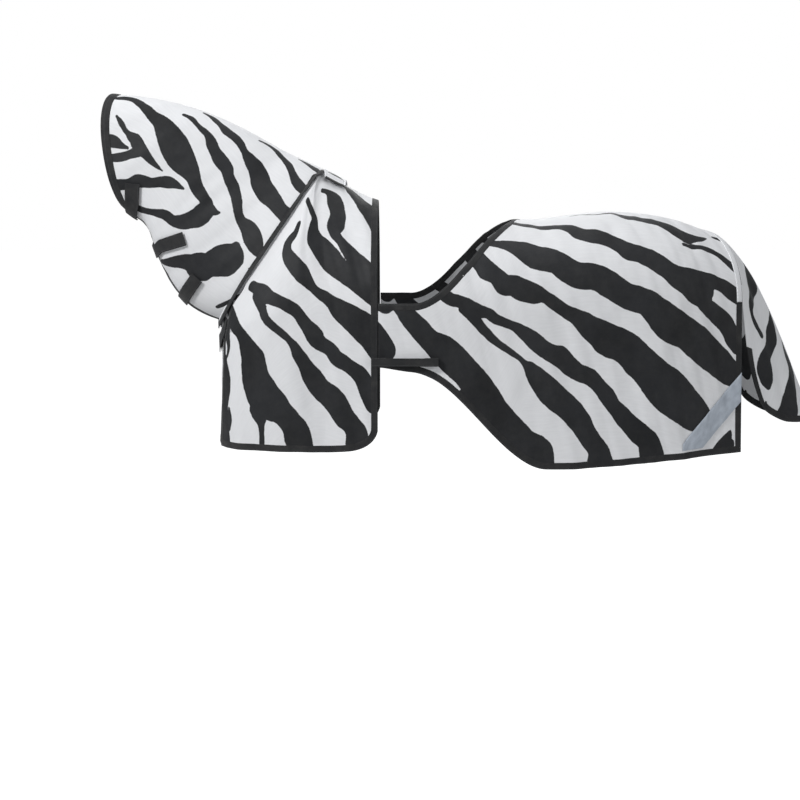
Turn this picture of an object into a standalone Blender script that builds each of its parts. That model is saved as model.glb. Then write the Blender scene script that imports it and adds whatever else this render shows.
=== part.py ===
"""Riding fly sheet with a full neck cover, as it lies on a standing horse.

Metres, +Z up, +X towards the tail, the horse's left side at -Y. The origin is at the withers, on the
sheet's top line. The cloth lies on two lofted forms, the body and the neck, and every sewn piece is a
patch of one of them, raised or lowered by its own layer height and given its cloth's thickness.
"""
import math

import bmesh
import bpy
import numpy as np

# ---- overall sizes -----------------------------------------------------------------------------
BACK_LENGTH = 1.208          # neckline at the withers to the dock seam, along X
WITHERS_X = -0.036           # where the neckline meets the top line
HEM_Z = -0.880               # lowest edge of the quarters
FRONT_HEM_Z = -0.832         # lowest edge of the front
BELLY_Z = -0.565             # lower edge of the strip under the saddle flap
OPENING_Z = -0.375           # lower edge of the saddle opening
SHOULDER_HALF = 0.272        # half widths of the body form
BARREL_HALF = 0.308
HIP_HALF = 0.298
BUTTOCK_HALF = 0.205
NECK_BASE_HALF = 0.175
NECK_SCALE = 1.0             # widths of the neck cover, over the poll and the mid neck

# ---- cut lines ---------------------------------------------------------------------------------
SHOULDER_REAR_X = 0.144      # rear edge of the front panels, and front of the saddle opening
OPENING_REAR_X = 0.585       # where the opening meets the top line again
ARCH_FRONT_X = 0.250         # the belly cut drops from here...
ARCH_REAR_X = 0.660          # ...to the hem here
HEM_RISE = 0.040             # how much higher the hem is at the rear corner
CORNER = 0.080               # height of the rounded rear corner of the front panels

# ---- cloth and trimmings -----------------------------------------------------------------------
CLOTH_T = 0.0016
BINDING_W = 0.022
BINDING_T = 0.0026
FACE_BINDING_W = 0.030
TAPE_T = 0.0014
TAPE_W = 0.020
SEAM_GAP = 0.0012            # left between two pieces that are sewn edge to edge
PATCH_LIFT = 0.0036          # layer heights above the panels
TAB_LIFT = 0.0080
FLAP_LIFT = 0.0065
SKIRT_LIFT = 0.0090          # the neck cover's rim, over the body's neckline
SKIRT_W = 0.036
STRIP_LIFT = 0.0050
INSIDE_LIFT = -0.0100        # tapes on the inside of the spine and crest seams
GIRTH_GAP = 0.0100           # room for the girth under its strap
STRAP_T = 0.0020
STRAP_W = 0.025
STRAP_LENGTH = 0.200
STRAP_PAD = 0.042            # length of the sewn end and of the hook-and-loop end
STRIP_W = 0.080              # reflective strip

# ---- the body form -----------------------------------------------------------------------------
# Each row is one hanging line of cloth: its start on the top line (x, z), its widest point
# (x, half width, z) and the half width it hangs to. x is a share of the back length.
BODY_ROWS = [
    (0.000, 0.024, 0.013, SHOULDER_HALF, -0.400, SHOULDER_HALF - 0.004),
    (0.149, -0.066, 0.149, BARREL_HALF - 0.008, -0.385, BARREL_HALF - 0.014),
    (0.336, -0.105, 0.336, BARREL_HALF, -0.400, BARREL_HALF - 0.006),
    (0.526, -0.126, 0.526, BARREL_HALF, -0.400, BARREL_HALF - 0.008),
    (0.733, -0.102, 0.740, HIP_HALF, -0.385, HIP_HALF - 0.004),
    (0.884, -0.116, 0.905, HIP_HALF - 0.022, -0.385, HIP_HALF - 0.026),
    (1.000, -0.162, 1.074, BUTTOCK_HALF, -0.400, BUTTOCK_HALF - 0.006),
]
REAR_FOOT_DX = 0.010         # the rear edge leans back by this much at the hem
HANG_Z = -1.100              # the form is carried down past every hem
TOP_SHARPNESS = (1.75, 2.25)  # superellipse exponents at the withers and over the rump
CHEST = dict(neck_x=-0.359, neck_z=-0.436, front_x=-0.355, wide_z=-0.600, plan=2.8)
LAST = len(BODY_ROWS)        # station number of the rear edge; station 1 is at the withers

# ---- the neck form -----------------------------------------------------------------------------
# Rings from the face edge to the neckline: crest (x, z), throat (x, z), half width.
NECK_ROWS = [
    (-0.690, 0.267, -0.645, -0.098, 0.088 * NECK_SCALE),
    (-0.560, 0.252, -0.582, -0.155, 0.100 * NECK_SCALE),
    (-0.430, 0.221, -0.553, -0.245, 0.112 * NECK_SCALE),
    (-0.300, 0.168, -0.515, -0.330, 0.126 * NECK_SCALE),
    (-0.165, 0.095, -0.445, -0.408, 0.146 * NECK_SCALE),
    (WITHERS_X, 0.024, CHEST["neck_x"], CHEST["neck_z"], NECK_BASE_HALF),
]
FACE_BOW = 0.045             # how far the face edge curves forward over the cheek
NECK_ROUND = 2.2
THROAT_PHI = 0.10            # the panels stop this far short of the throat's centre line
CREST_PHI = 0.014

# ---- where the closures lie --------------------------------------------------------------------
FLAP_FRONT_U = 0.28          # chest flap: front edge, and its fold at the top and lower down
FLAP_FOLD_TOP_U = 0.40
FLAP_FOLD_U = 0.58
FLAP_TOP_Q = 0.052
UNDERLAP_BACK_U = 0.12       # the right front panel reaches round to this far short of the fold
NECKLINE_Q = 0.012           # the front panels start this far below the neck's ring
CHEST_TAB_Q = (0.058, 0.112)
CHEST_TAB_U = (0.03, 0.262)
HINGE_PROUD = 0.0030         # a tab folds back about a line this far outside its own cloth
LOOP_TAPE_END_U = 0.84       # the neckline tapes stop short of the withers
LOOP_TAPE_Q = 0.018          # and start this far below the neckline
LOOP_TAPE_W = 0.014
WITHERS_TAB_LIFT = 0.0130
TAB_WRAP = 0.25              # share of a neck tab that turns round the throat's edge
WITHERS_TAB_U = 0.38         # how far the withers tab reaches back, in stations
WITHERS_TAB_HALF = 0.085
# neck tabs, seen from the side: root centre, direction and length, width
NECK_TABS = {
    "jaw_tab": ((-0.628, -0.103), (0.10, 1.0), 0.090, 0.046),
    "upper_throat_tab": ((-0.563, -0.215), (1.0, 0.30), 0.112, 0.042),
    "lower_throat_tab": ((-0.478, -0.378), (0.62, 0.78), 0.095, 0.042),
}

# ---- the tail cover ----------------------------------------------------------------------------
TAIL_FLAP_Z = -0.755
TAIL_FOLD_Z = -0.400         # the tail flap folds here at its sides...
TAIL_FOLD_DIP = 0.060        # ...and this much lower over the tail
TAIL_AXIS_X = WITHERS_X + BACK_LENGTH + 0.163
FOLD_GAP = 0.012             # as a share of the flap's length
# Three rows that shape the cover from the dock seam to its hem: distance behind the seam, how much
# further at the middle, half width, height, how much higher at the middle.
TAIL_ROWS = [
    (0.104, 0.024, 0.200, -0.470, 0.250),
    (0.114, 0.134, 0.172, -0.620, 0.170),
    (0.202, 0.158, 0.130, TAIL_FLAP_Z, -0.010),
]
TAIL_CORNER_FROM = 0.72      # where the rounded lower corners begin, as a share of the half width
TAIL_CORNER_CUT = 0.13       # how far the corner rises, as a share of the flap's length

# ---- the reflective strips ---------------------------------------------------------------------
STRIP_START = (1.075, -0.807)  # lower front corner (x, z) at the top edge of the slanting strip
STRIP_RUN = (0.190, 0.215)
STRIP_SLANT = 1.15           # its height measured upright, as a share of its width
STRIP_CLEAR = 0.006          # kept above the hem binding

# ---- grid cells across and down each panel -----------------------------------------------------
FRONT_GRID = (12, 10)
WIDE_FRONT_GRID = (22, 10)
FLAP_GRID = (6, 8)
QUARTER_GRID = (20, 10)
TAIL_GRID = (14, 6)
NECK_GRID = (13, 18)
SEAM_ROWS = 4                # rows of the quarter panel that the tail cover's seam runs along

COLOURS = {
    "zebra": ((0.72, 0.73, 0.75), 0.80, 0.0),
    "binding": ((0.012, 0.013, 0.014), 0.85, 0.0),
    "hook": ((0.016, 0.017, 0.018), 0.90, 0.0),
    "tape": ((0.70, 0.71, 0.73), 0.80, 0.0),
    "reflective": ((0.42, 0.47, 0.53), 0.35, 0.2),
    "webbing": ((0.014, 0.015, 0.016), 0.75, 0.0),
}


# ---- small helpers -----------------------------------------------------------------------------
def unit(v):
    return v / max(np.linalg.norm(v), 1e-12)


def smooth(t):
    t = min(max(t, 0.0), 1.0)
    return t * t * (3.0 - 2.0 * t)


def spline(rows, t):
    """Catmull-Rom curve through the rows, with t counted in rows."""
    rows = np.asarray(rows, float)
    i = min(max(int(math.floor(t)), 0), len(rows) - 2)
    f = t - i
    p1, p2 = rows[i], rows[i + 1]
    p0 = rows[i - 1] if i > 0 else 2 * p1 - p2
    p3 = rows[i + 2] if i + 2 < len(rows) else 2 * p2 - p1
    m1, m2 = (p2 - p0) / 2, (p3 - p1) / 2
    return ((2 * f**3 - 3 * f**2 + 1) * p1 + (f**3 - 2 * f**2 + f) * m1
            + (-2 * f**3 + 3 * f**2) * p2 + (f**3 - f**2) * m2)


def power(value, exponent):
    return math.copysign(abs(value) ** exponent, value)


# ---- the body form -----------------------------------------------------------------------------
def neck_ring(phi, row):
    """A ring round the neck: phi is 0 at the throat and pi at the crest, on the left side."""
    cx, cz, tx, tz, half = row
    c = power(math.cos(phi), 2 / NECK_ROUND)
    s = power(math.sin(phi), 2 / NECK_ROUND)
    return np.array([(cx + tx) / 2 + (tx - cx) / 2 * c, -half * s, (cz + tz) / 2 + (tz - cz) / 2 * c])


def body_line(u):
    """Start, widest point and foot of the hanging line at station u, from the chest to the rear."""
    if u < 1.0:
        start = neck_ring(math.pi * u, NECK_ROWS[-1])
        a = math.pi / 2 * u
        along = math.cos(a) ** (2 / CHEST["plan"])
        across = math.sin(a) ** (2 / CHEST["plan"])
        back_x = WITHERS_X + 0.013 * BACK_LENGTH
        wide_x = back_x + (CHEST["front_x"] - back_x) * along
        wide_z = CHEST["wide_z"] + (BODY_ROWS[0][4] - CHEST["wide_z"]) * math.sin(a)
        wide = np.array([wide_x, -SHOULDER_HALF * across, wide_z])
        foot = np.array([wide_x - 0.010 * along, -(SHOULDER_HALF - 0.004) * across, HEM_Z])
        return start, wide, foot
    top_x, top_z, wide_x, half, wide_z, foot_half = spline(BODY_ROWS, u - 1.0)
    start = np.array([WITHERS_X + top_x * BACK_LENGTH, 0.0, top_z])
    wide = np.array([WITHERS_X + wide_x * BACK_LENGTH, -half, wide_z])
    lean = REAR_FOOT_DX * smooth((u - LAST + 1) / 1.0)
    return start, wide, np.array([wide[0] + lean, -foot_half, HEM_Z])


LINES = {}


def body_polyline(u):
    """The hanging line at station u as points with their lengths from the top."""
    key = round(u, 7)
    if key not in LINES:
        start, wide, foot = body_line(u)
        n = TOP_SHARPNESS[0] + (TOP_SHARPNESS[1] - TOP_SHARPNESS[0]) * smooth((u - 1.0) / 4.0)
        points = []
        for t in np.linspace(0, math.pi / 2, 33):
            bulge, fall = math.sin(t) ** (2 / n), 1 - max(math.cos(t), 0.0) ** (2 / n)
            soft = math.sin(math.pi / 2 * fall)
            share = np.array([fall + (bulge - fall) * smooth((u - 0.8) / 0.4),
                              soft + (bulge - soft) * smooth((u - 0.45) / 0.5), fall])
            points.append(start + (wide - start) * share)
        drop = (foot - wide) / (foot[2] - wide[2])
        for z in np.linspace(wide[2], HANG_Z, 13)[1:]:
            points.append(wide + drop * (z - wide[2]))
        points = np.array(points)
        lengths = np.concatenate([[0], np.cumsum(np.linalg.norm(np.diff(points, axis=0), axis=1))])
        LINES[key] = points, lengths
    return LINES[key]


def body_raw(u, q):
    points, lengths = body_polyline(u)
    if q <= 0:
        return points[0] + unit(points[1] - points[0]) * q
    return np.array([np.interp(q, lengths, points[:, k]) for k in range(3)])


def body_normal(u, q):
    du, dq = 0.01, 0.004
    along = body_raw(min(u + du, LAST), q) - body_raw(max(u - du, 0.0), q)
    down = body_raw(u, q + dq) - body_raw(u, max(q - dq, 0.0))
    return unit(np.cross(down, along))


def body_point(u, q, lift=0.0):
    """A point on the left of the body form: station u, length q down from the top line."""
    return body_raw(u, q) + body_normal(u, q) * lift


def length_at_z(u, z):
    """The length q at which the line of station u is at height z."""
    points, lengths = body_polyline(u)
    return float(np.interp(-z, -points[:, 2], lengths))


def station_at_x(x, z):
    """The station of the body form whose line is at x where its height is z."""
    low, high = 1.0, float(LAST)
    for _ in range(40):
        mid = (low + high) / 2
        if body_raw(mid, length_at_z(mid, z))[0] < x:
            low = mid
        else:
            high = mid
    return (low + high) / 2


# ---- the neck form -----------------------------------------------------------------------------
def neck_raw(s, phi):
    """A point on the neck form: s from the face edge (0) to the neckline (1)."""
    p = neck_ring(phi, spline(NECK_ROWS, s * (len(NECK_ROWS) - 1)))
    bow = FACE_BOW * (1 - min(s, 1.0)) ** 3 * abs(math.sin(phi))
    return p - np.array([bow, 0, 0])


def neck_normal(s, phi):
    ds, dp = 0.01, 0.01
    along = neck_raw(min(s + ds, 1.0), phi) - neck_raw(max(s - ds, 0.0), phi)
    around = neck_raw(s, phi + dp) - neck_raw(s, phi - dp)
    return unit(np.cross(along, around))


def neck_point(s, phi, lift=0.0):
    """A point on the neck cover, whose rim runs over the body's neckline where s > 1."""
    rim = smooth((s - 0.80) / 0.20) * SKIRT_LIFT
    if s < 1.0:
        return neck_raw(s, phi) + neck_normal(s, phi) * (lift + rim)
    u = min(max(phi / math.pi, 0.0), 1.0)
    if s > 1.0:
        return body_point(u, s - 1.0, lift + SKIRT_LIFT)
    n1, n2 = neck_normal(1.0, phi), body_normal(u, 0.0)
    corner = (n1 + n2) / (1 + float(np.dot(n1, n2)))
    return neck_raw(1.0, phi) + corner * (lift + SKIRT_LIFT)


def neck_place(x, z):
    """The place (s, phi) on the neck form's left side that is at (x, z) when seen from the side."""
    best = min(((np.linalg.norm(neck_raw(s, p)[[0, 2]] - (x, z)), s, p)
                for s in np.linspace(0, 1, 21) for p in np.linspace(0.05, 3.05, 31)))
    s, phi = best[1], best[2]
    for _ in range(12):
        here = neck_raw(s, phi)[[0, 2]]
        js = (neck_raw(s + 1e-4, phi)[[0, 2]] - here) / 1e-4
        jp = (neck_raw(s, phi + 1e-4)[[0, 2]] - here) / 1e-4
        step = np.linalg.lstsq(np.stack([js, jp], 1), np.array([x, z]) - here, rcond=1e-3)[0]
        s = min(max(s + step[0], 0.0), 0.999)
        phi = min(max(phi + step[1], 0.02), math.pi - 0.02)
    return s, phi


# ---- building pieces ---------------------------------------------------------------------------
def clear_scene():
    for thing in list(bpy.data.objects):
        bpy.data.objects.remove(thing)


def collection(name):
    made = bpy.data.collections.new(name)
    bpy.context.scene.collection.children.link(made)
    return made


def material(name):
    made = bpy.data.materials.get(name)
    if made is None:
        made = bpy.data.materials.new(name)
        made.use_nodes = True
        colour, rough, metal = COLOURS[name]
        shader = made.node_tree.nodes["Principled BSDF"]
        shader.inputs["Base Color"].default_value = (*colour, 1.0)
        shader.inputs["Roughness"].default_value = rough
        shader.inputs["Metallic"].default_value = metal
        made.diffuse_color = (*colour, 1.0)
    return made


def mirrored(fn):
    return lambda a, b: fn(a, b) * np.array([1, -1, 1])


def cloth(parts, name, fn, across, down, thickness, slot):
    """A piece of cloth: a grid carried onto fn(a, b), a and b from 0 to 1, with a thickness."""
    bm = bmesh.new()
    bmesh.ops.create_grid(bm, x_segments=across, y_segments=down, size=0.5)
    for v in bm.verts:
        v.co = fn(v.co.x + 0.5, v.co.y + 0.5)
    bmesh.ops.recalc_face_normals(bm, faces=bm.faces)
    mesh = bpy.data.meshes.new(name)
    bm.to_mesh(mesh)
    bm.free()
    piece = bpy.data.objects.new(name, mesh)
    mesh.materials.append(material(slot))
    mesh.shade_smooth()
    mesh.set_sharp_from_angle(angle=math.radians(50))
    shell = piece.modifiers.new("thickness", "SOLIDIFY")
    shell.thickness = thickness
    shell.offset = 0.0
    shell.use_even_offset = True
    shell.use_rim = True
    parts.objects.link(piece)
    return piece


def hinge_empty(parts, piece, name, place):
    """Puts a piece under an empty that stands on its joint's axis."""
    empty = bpy.data.objects.new(name, None)
    empty.location = place
    parts.objects.link(empty)
    hang(piece, empty)
    return empty


def hang(piece, empty):
    piece.parent = empty
    piece.matrix_parent_inverse = empty.matrix_basis.inverted()


# A panel is fn(a, b) over the unit square. Its bound edges are named by side: a0, a1, b0 and b1.
def inset(fn, widths):
    """The panel with each named side drawn in by its width in metres."""
    def step(a, b, da, db):
        a2, b2 = min(max(a + da, 0), 1), min(max(b + db, 0), 1)
        return np.linalg.norm(fn(a2, b2) - fn(a, b)) / (abs(a2 - a) + abs(b2 - b))

    def drawn(a, b):
        wa0, wa1 = widths.get("a0", 0), widths.get("a1", 0)
        wb0, wb1 = widths.get("b0", 0), widths.get("b1", 0)
        wb0 = wb0(a) if callable(wb0) else wb0
        a_in = wa0 / step(0, b, 0.02, 0) * fade(a) if wa0 else 0
        a_in -= wa1 / step(1, b, -0.02, 0) * fade(1 - a) if wa1 else 0
        b_in = wb0 / step(a, 0, 0, 0.03) * fade(b) if wb0 else 0
        b_in -= wb1 / step(a, 1, 0, -0.03) * fade(1 - b) if wb1 else 0
        return fn(a + a_in, b + b_in)
    return drawn


def fade(t):
    """Only the third of a panel next to an edge moves when that edge is drawn in."""
    return max(1 - t / 0.34, 0)


def edge_path(corners, grid):
    """The panel's own grid points met on a walk from corner to corner of the unit square."""
    nodes = [corners[0]]
    for (a0, b0), (a1, b1) in zip(corners, corners[1:]):
        steps = max(round(abs(a1 - a0) * grid[0]), round(abs(b1 - b0) * grid[1]))
        nodes += [(a0 + (a1 - a0) * k / steps, b0 + (b1 - b0) * k / steps) for k in range(1, steps + 1)]
    return nodes


def binding(parts, name, fn, corners, widths, grid, flip=False, slot="binding", thickness=None):
    """Edge binding: the band between a panel's edge and the line where the panel itself stops."""
    nodes, inner = edge_path(corners, grid), inset(fn, widths)

    def band(t, b):
        node = nodes[round(t * (len(nodes) - 1))]
        outside, inside = fn(*node), inner(*node)
        return outside + (inside - outside) * b
    band_fn = mirrored(band) if flip else band
    return cloth(parts, name, band_fn, len(nodes) - 1, 1, thickness or BINDING_T, slot)


def widened(widths, extra):
    return {k: (lambda a, w=w: w(a) + extra) if callable(w) else w + extra for k, w in widths.items()}


# ---- panels of the body ------------------------------------------------------------------------
def front_hem_z(u):
    """The front hem runs level and turns up in a round corner at the rear edge."""
    x = body_line(u)[2][0]
    rise = CORNER - math.sqrt(max(CORNER**2 - max(x - (SHOULDER_REAR_X - CORNER), 0) ** 2, 0))
    return FRONT_HEM_Z + 0.012 * smooth((u - 1) / 1.0) + 0.85 * rise


def fold_u(q):
    """The fold that the chest flap turns on leans forward above the widest line."""
    return FLAP_FOLD_TOP_U + (FLAP_FOLD_U - FLAP_FOLD_TOP_U) * smooth(q / 0.30)


def shoulder_left(a, b):
    front = fold_u(0.45 * b) + 0.008
    u = front + a * (SHOULDER_END - front)
    top = NECKLINE_Q + (SEAM_GAP - NECKLINE_Q) * smooth((u - 0.97) / 0.03)
    bottom = length_at_z(u, front_hem_z(u))
    return body_point(u, top + (bottom - top) * b)


def shoulder_right(a, b):
    """Written on the left side and mirrored: the right front panel reaches past the chest."""
    underlap = fold_u(0.45 * b) - UNDERLAP_BACK_U
    w = -underlap + a * (SHOULDER_END + underlap)
    u = abs(w)
    top = NECKLINE_Q + (SEAM_GAP - NECKLINE_Q) * smooth((u - 0.97) / 0.03)
    bottom = length_at_z(u, front_hem_z(u))
    p = body_point(u, top + (bottom - top) * b)
    return p * np.array([1, -1, 1]) if w < 0 else p


def chest_flap(a, b):
    front = FLAP_FRONT_U - 0.05 * b
    u = front + a * (fold_u(FLAP_TOP_Q + 0.42 * b) - 0.008 - front)
    bottom = length_at_z(u, FRONT_HEM_Z)
    q = FLAP_TOP_Q + (bottom - FLAP_TOP_Q) * b
    return body_point(u, q, FLAP_LIFT * (1 - 0.6 * smooth((a - 0.75) / 0.25)))


def opening_z(x):
    """Lower edge of the saddle opening: level, then rising to the top line at its rear."""
    top = body_line(station_at_x(OPENING_REAR_X, -0.2))[0][2]
    t = (x - ARCH_FRONT_X) / (OPENING_REAR_X - ARCH_FRONT_X)
    return OPENING_Z + (top - OPENING_Z) * smooth(t)


def belly_z(x):
    """Lower edge of the quarters: the strip, the arch down to the hem, and the hem."""
    t = (x - ARCH_FRONT_X) / (ARCH_REAR_X - ARCH_FRONT_X)
    rise = HEM_RISE * smooth((x - ARCH_REAR_X) / 0.70)
    return BELLY_Z + (HEM_Z - BELLY_Z) * smooth(t) - 0.020 * smooth((x - 0.1) / 0.2) * (1 - smooth(t)) + rise


def quarter(a, b):
    u = QUARTER_START + a * (LAST - QUARTER_START)
    x = body_line(u)[1][0]
    top = SEAM_GAP if x >= OPENING_REAR_X else max(length_at_z(u, opening_z(x)), SEAM_GAP)
    bottom = length_at_z(u, belly_z(x))
    return body_point(u, top + (bottom - top) * b ** 1.25)


def opening_binding_width(a):
    """The opening's binding runs out where the opening meets the top line."""
    return BINDING_W * smooth((OPENING_END_A - a) / 0.05)


def tail_cloth(a, b):
    """The whole tail cover: a runs across from left to right, b down from the dock seam."""
    w = 2 * a - 1
    top = body_point(LAST, max(abs(w) * SEAM_Q, SEAM_GAP)) * np.array([1, -1 if w > 0 else 1, 1])
    top = top + np.array([SEAM_GAP * 2, 0, -SEAM_GAP])
    turn = math.pi / 2 * w
    across, out = math.sin(turn), math.cos(turn)
    rear = WITHERS_X + BACK_LENGTH
    p1, p2, p3 = (np.array([rear + back + more * out, half * across, z + rise * out])
                  for back, more, half, z, rise in TAIL_ROWS)
    c = 1 - b
    return c**3 * top + 3 * c * c * b * p1 + 3 * c * b * b * p2 + b**3 * p3


SHOULDER_END = station_at_x(SHOULDER_REAR_X - SEAM_GAP, -0.5)
QUARTER_START = station_at_x(SHOULDER_REAR_X + SEAM_GAP, -0.5)
SEAM_Q = length_at_z(LAST, -0.385)
OPENING_END_A = (station_at_x(OPENING_REAR_X, -0.2) - QUARTER_START) / (LAST - QUARTER_START)


def add_front(parts):
    ends = {"a1": BINDING_W, "b1": BINDING_W}
    cloth(parts, "shoulder_panel_left", inset(shoulder_left, widened(ends, SEAM_GAP)),
          *FRONT_GRID, CLOTH_T, "zebra")
    binding(parts, "front_binding_left", shoulder_left, [(0, 1), (1, 1), (1, 0)], ends, FRONT_GRID)
    ends = {"a0": BINDING_W, "a1": BINDING_W, "b1": BINDING_W}
    cloth(parts, "shoulder_panel_right", mirrored(inset(shoulder_right, widened(ends, SEAM_GAP))),
          *WIDE_FRONT_GRID, CLOTH_T, "zebra")
    binding(parts, "front_binding_right", shoulder_right, [(0, 0), (0, 1), (1, 1), (1, 0)], ends,
            WIDE_FRONT_GRID, flip=True)
    for side, first_u in (("left", 0.47), ("right", 0.04)):
        def loop_tape(a, b, first_u=first_u):
            u = first_u + (LOOP_TAPE_END_U - first_u) * a
            return body_point(u, LOOP_TAPE_Q + LOOP_TAPE_W * b, PATCH_LIFT)
        cloth(parts, "neckline_loop_tape_" + side, mirrored(loop_tape) if side == "right" else loop_tape,
              round(36 * (1 - first_u)), 1, TAPE_T, "tape")


def add_chest_closure(parts):
    ends = {"a0": BINDING_W, "b1": BINDING_W}
    panel = inset(chest_flap, widened(ends, SEAM_GAP))
    flap = cloth(parts, "chest_flap", panel, *FLAP_GRID, CLOTH_T, "zebra")
    bound = binding(parts, "chest_flap_binding", chest_flap, [(0, 0), (0, 1), (1, 1)], ends, FLAP_GRID)
    fold = body_point(FLAP_FOLD_U, 0.35, 0.004)
    empty = hinge_empty(parts, flap, "chest_flap_fold", fold)
    hang(bound, empty)

    def tab(a, b):
        u = CHEST_TAB_U[0] + a * (CHEST_TAB_U[1] - CHEST_TAB_U[0])
        return body_point(u, CHEST_TAB_Q[0] + b * (CHEST_TAB_Q[1] - CHEST_TAB_Q[0]), TAB_LIFT)

    def patch(a, b):
        u = CHEST_TAB_U[0] + 0.02 + a * 0.10
        margin = 0.004
        return body_point(u, CHEST_TAB_Q[0] + margin
                          + b * (CHEST_TAB_Q[1] - CHEST_TAB_Q[0] - 2 * margin), PATCH_LIFT)
    closing = cloth(parts, "chest_tab", tab, 8, 2, TAPE_T, "hook")
    hinge = body_point(CHEST_TAB_U[1], (CHEST_TAB_Q[0] + CHEST_TAB_Q[1]) / 2, TAB_LIFT + HINGE_PROUD)
    hinge_empty(parts, closing, "chest_tab_hinge", hinge)
    cloth(parts, "chest_loop_patch", patch, 4, 2, TAPE_T, "hook")


def add_quarters(parts):
    widths = {"a1": BINDING_W, "b1": BINDING_W, "b0": opening_binding_width}
    panel = inset(quarter, widened(widths, SEAM_GAP))
    seam_b = SEAM_ROWS / QUARTER_GRID[1]

    def strip(a, b):
        """The reflective strip crosses the rear lower corner of the quarter at a slant."""
        x = STRIP_START[0] + STRIP_RUN[0] * a
        z = STRIP_START[1] + STRIP_RUN[1] * a - STRIP_W * STRIP_SLANT * b
        u = station_at_x(x, z)
        low = belly_z(x) + BINDING_W + STRIP_CLEAR
        return body_point(u, length_at_z(u, max(z, low + TAPE_T * (1 - b))), STRIP_LIFT)

    for side, flip in (("left", False), ("right", True)):
        turn = mirrored if flip else (lambda fn: fn)
        cloth(parts, "quarter_panel_" + side, turn(panel), *QUARTER_GRID, CLOTH_T, "zebra")
        binding(parts, "quarter_binding_" + side, quarter, [(0, 1), (1, 1), (1, seam_b)], widths,
                QUARTER_GRID, flip=flip)
        binding(parts, "tail_seam_band_" + side, quarter, [(1, seam_b - 0.004), (1, 0)], widths,
                QUARTER_GRID, flip=flip, slot="zebra", thickness=CLOTH_T)
        opening_end = math.floor(OPENING_END_A * QUARTER_GRID[0]) / QUARTER_GRID[0]
        binding(parts, "opening_binding_" + side, quarter, [(0, 0), (opening_end, 0)], widths,
                QUARTER_GRID, flip=flip)
        cloth(parts, "reflective_strip_" + side, turn(strip), 8, 2, TAPE_T, "reflective")

    def spine_tape(a, b):
        u = station_at_x(OPENING_REAR_X + 0.03, -0.2)
        u = u + a * (LAST - 0.03 - u)
        w = 2 * b - 1
        p = body_point(u, abs(w) * TAPE_W / 2, INSIDE_LIFT)
        return p * np.array([1, -1, 1]) if w > 0 else p
    cloth(parts, "spine_seam_tape", spine_tape, 12, 2, TAPE_T, "tape")


def tail_fold_b(a):
    """Where the cloth folds when the tail flap is lifted: level with the seam's ends, lower behind."""
    target = TAIL_FOLD_Z - TAIL_FOLD_DIP * math.sin(math.pi * a)
    low, high = 0.0, 1.0
    for _ in range(30):
        mid = (low + high) / 2
        if tail_cloth(a, mid)[2] > target:
            low = mid
        else:
            high = mid
    return (low + high) / 2


def tail_dome(a, b):
    return tail_cloth(a, b * (tail_fold_b(a) - FOLD_GAP / 2))


def tail_flap(a, b):
    """The flap below the fold, its lower corners cut round."""
    start = tail_fold_b(a) + FOLD_GAP / 2
    corner = max((abs(2 * a - 1) - TAIL_CORNER_FROM) / (1 - TAIL_CORNER_FROM), 0)
    end = 1 - TAIL_CORNER_CUT * (1 - math.sqrt(max(1 - corner**2, 0)))
    return tail_cloth(a, start + (end - start) * b)


def add_tail_flap(parts):
    """The cloth over the dock stays with the sheet, and the flap below it swings up on the fold."""
    cloth(parts, "tail_dome", tail_dome, TAIL_GRID[0], 5, CLOTH_T, "zebra")
    ends = {"a0": BINDING_W, "a1": BINDING_W, "b1": BINDING_W}
    panel = inset(tail_flap, widened(ends, SEAM_GAP))
    flap = cloth(parts, "tail_flap", panel, *TAIL_GRID, CLOTH_T, "zebra")
    bound = binding(parts, "tail_flap_binding", tail_flap, [(0, 0), (0, 1), (1, 1), (1, 0)], ends,
                    TAIL_GRID)
    empty = hinge_empty(parts, flap, "tail_flap_fold", (TAIL_AXIS_X, 0, TAIL_FOLD_Z + 0.008))
    hang(bound, empty)


def girth_strap_place():
    """Where the girth strap lies: its rear end, its length, and the panel's outside there."""
    z = BELLY_Z + STRAP_W / 2 + 0.002
    front_x = SHOULDER_REAR_X - STRAP_PAD / 2 + 0.004
    outside = min(body_point(u, length_at_z(u, z))[1] for u in np.linspace(1.9, 3.2, 12))
    return front_x, z, outside


def box(parts, name, low, high, slot):
    bm = bmesh.new()
    bmesh.ops.create_cube(bm, size=1.0)
    low, high = np.array(low), np.array(high)
    for v in bm.verts:
        v.co = (low + high) / 2 + (high - low) * np.array(v.co)
    mesh = bpy.data.meshes.new(name)
    bm.to_mesh(mesh)
    bm.free()
    piece = bpy.data.objects.new(name, mesh)
    mesh.materials.append(material(slot))
    parts.objects.link(piece)
    return piece


def add_girth_straps(parts):
    front_x, z, outside = girth_strap_place()
    pad_out = outside - BINDING_T / 2 - 0.0016
    strap_in = pad_out - GIRTH_GAP - 0.0004
    for side, sign in (("left", 1), ("right", -1)):
        def slab(name, x0, x1, y_in, y_out, z0, z1, slot, sign=sign):
            ys = sorted((sign * y_in, sign * y_out))
            return box(parts, name, (x0, ys[0], z0), (x1, ys[1], z1), slot)
        low, high = z - STRAP_W / 2, z + STRAP_W / 2
        rear_x = front_x + STRAP_LENGTH
        slab("girth_strap_loop_pad_" + side, front_x, front_x + STRAP_PAD, pad_out, pad_out - GIRTH_GAP,
             low, high, "hook")
        slab("girth_strap_base_" + side, rear_x - STRAP_PAD, rear_x, pad_out, pad_out - GIRTH_GAP,
             low, high, "webbing")
        strap = slab("girth_strap_" + side, front_x, rear_x, strap_in, strap_in - STRAP_T, low, high,
                     "webbing")
        hinge_empty(parts, strap, "girth_strap_hinge_" + side, (rear_x, sign * strap_in, z))


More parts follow.
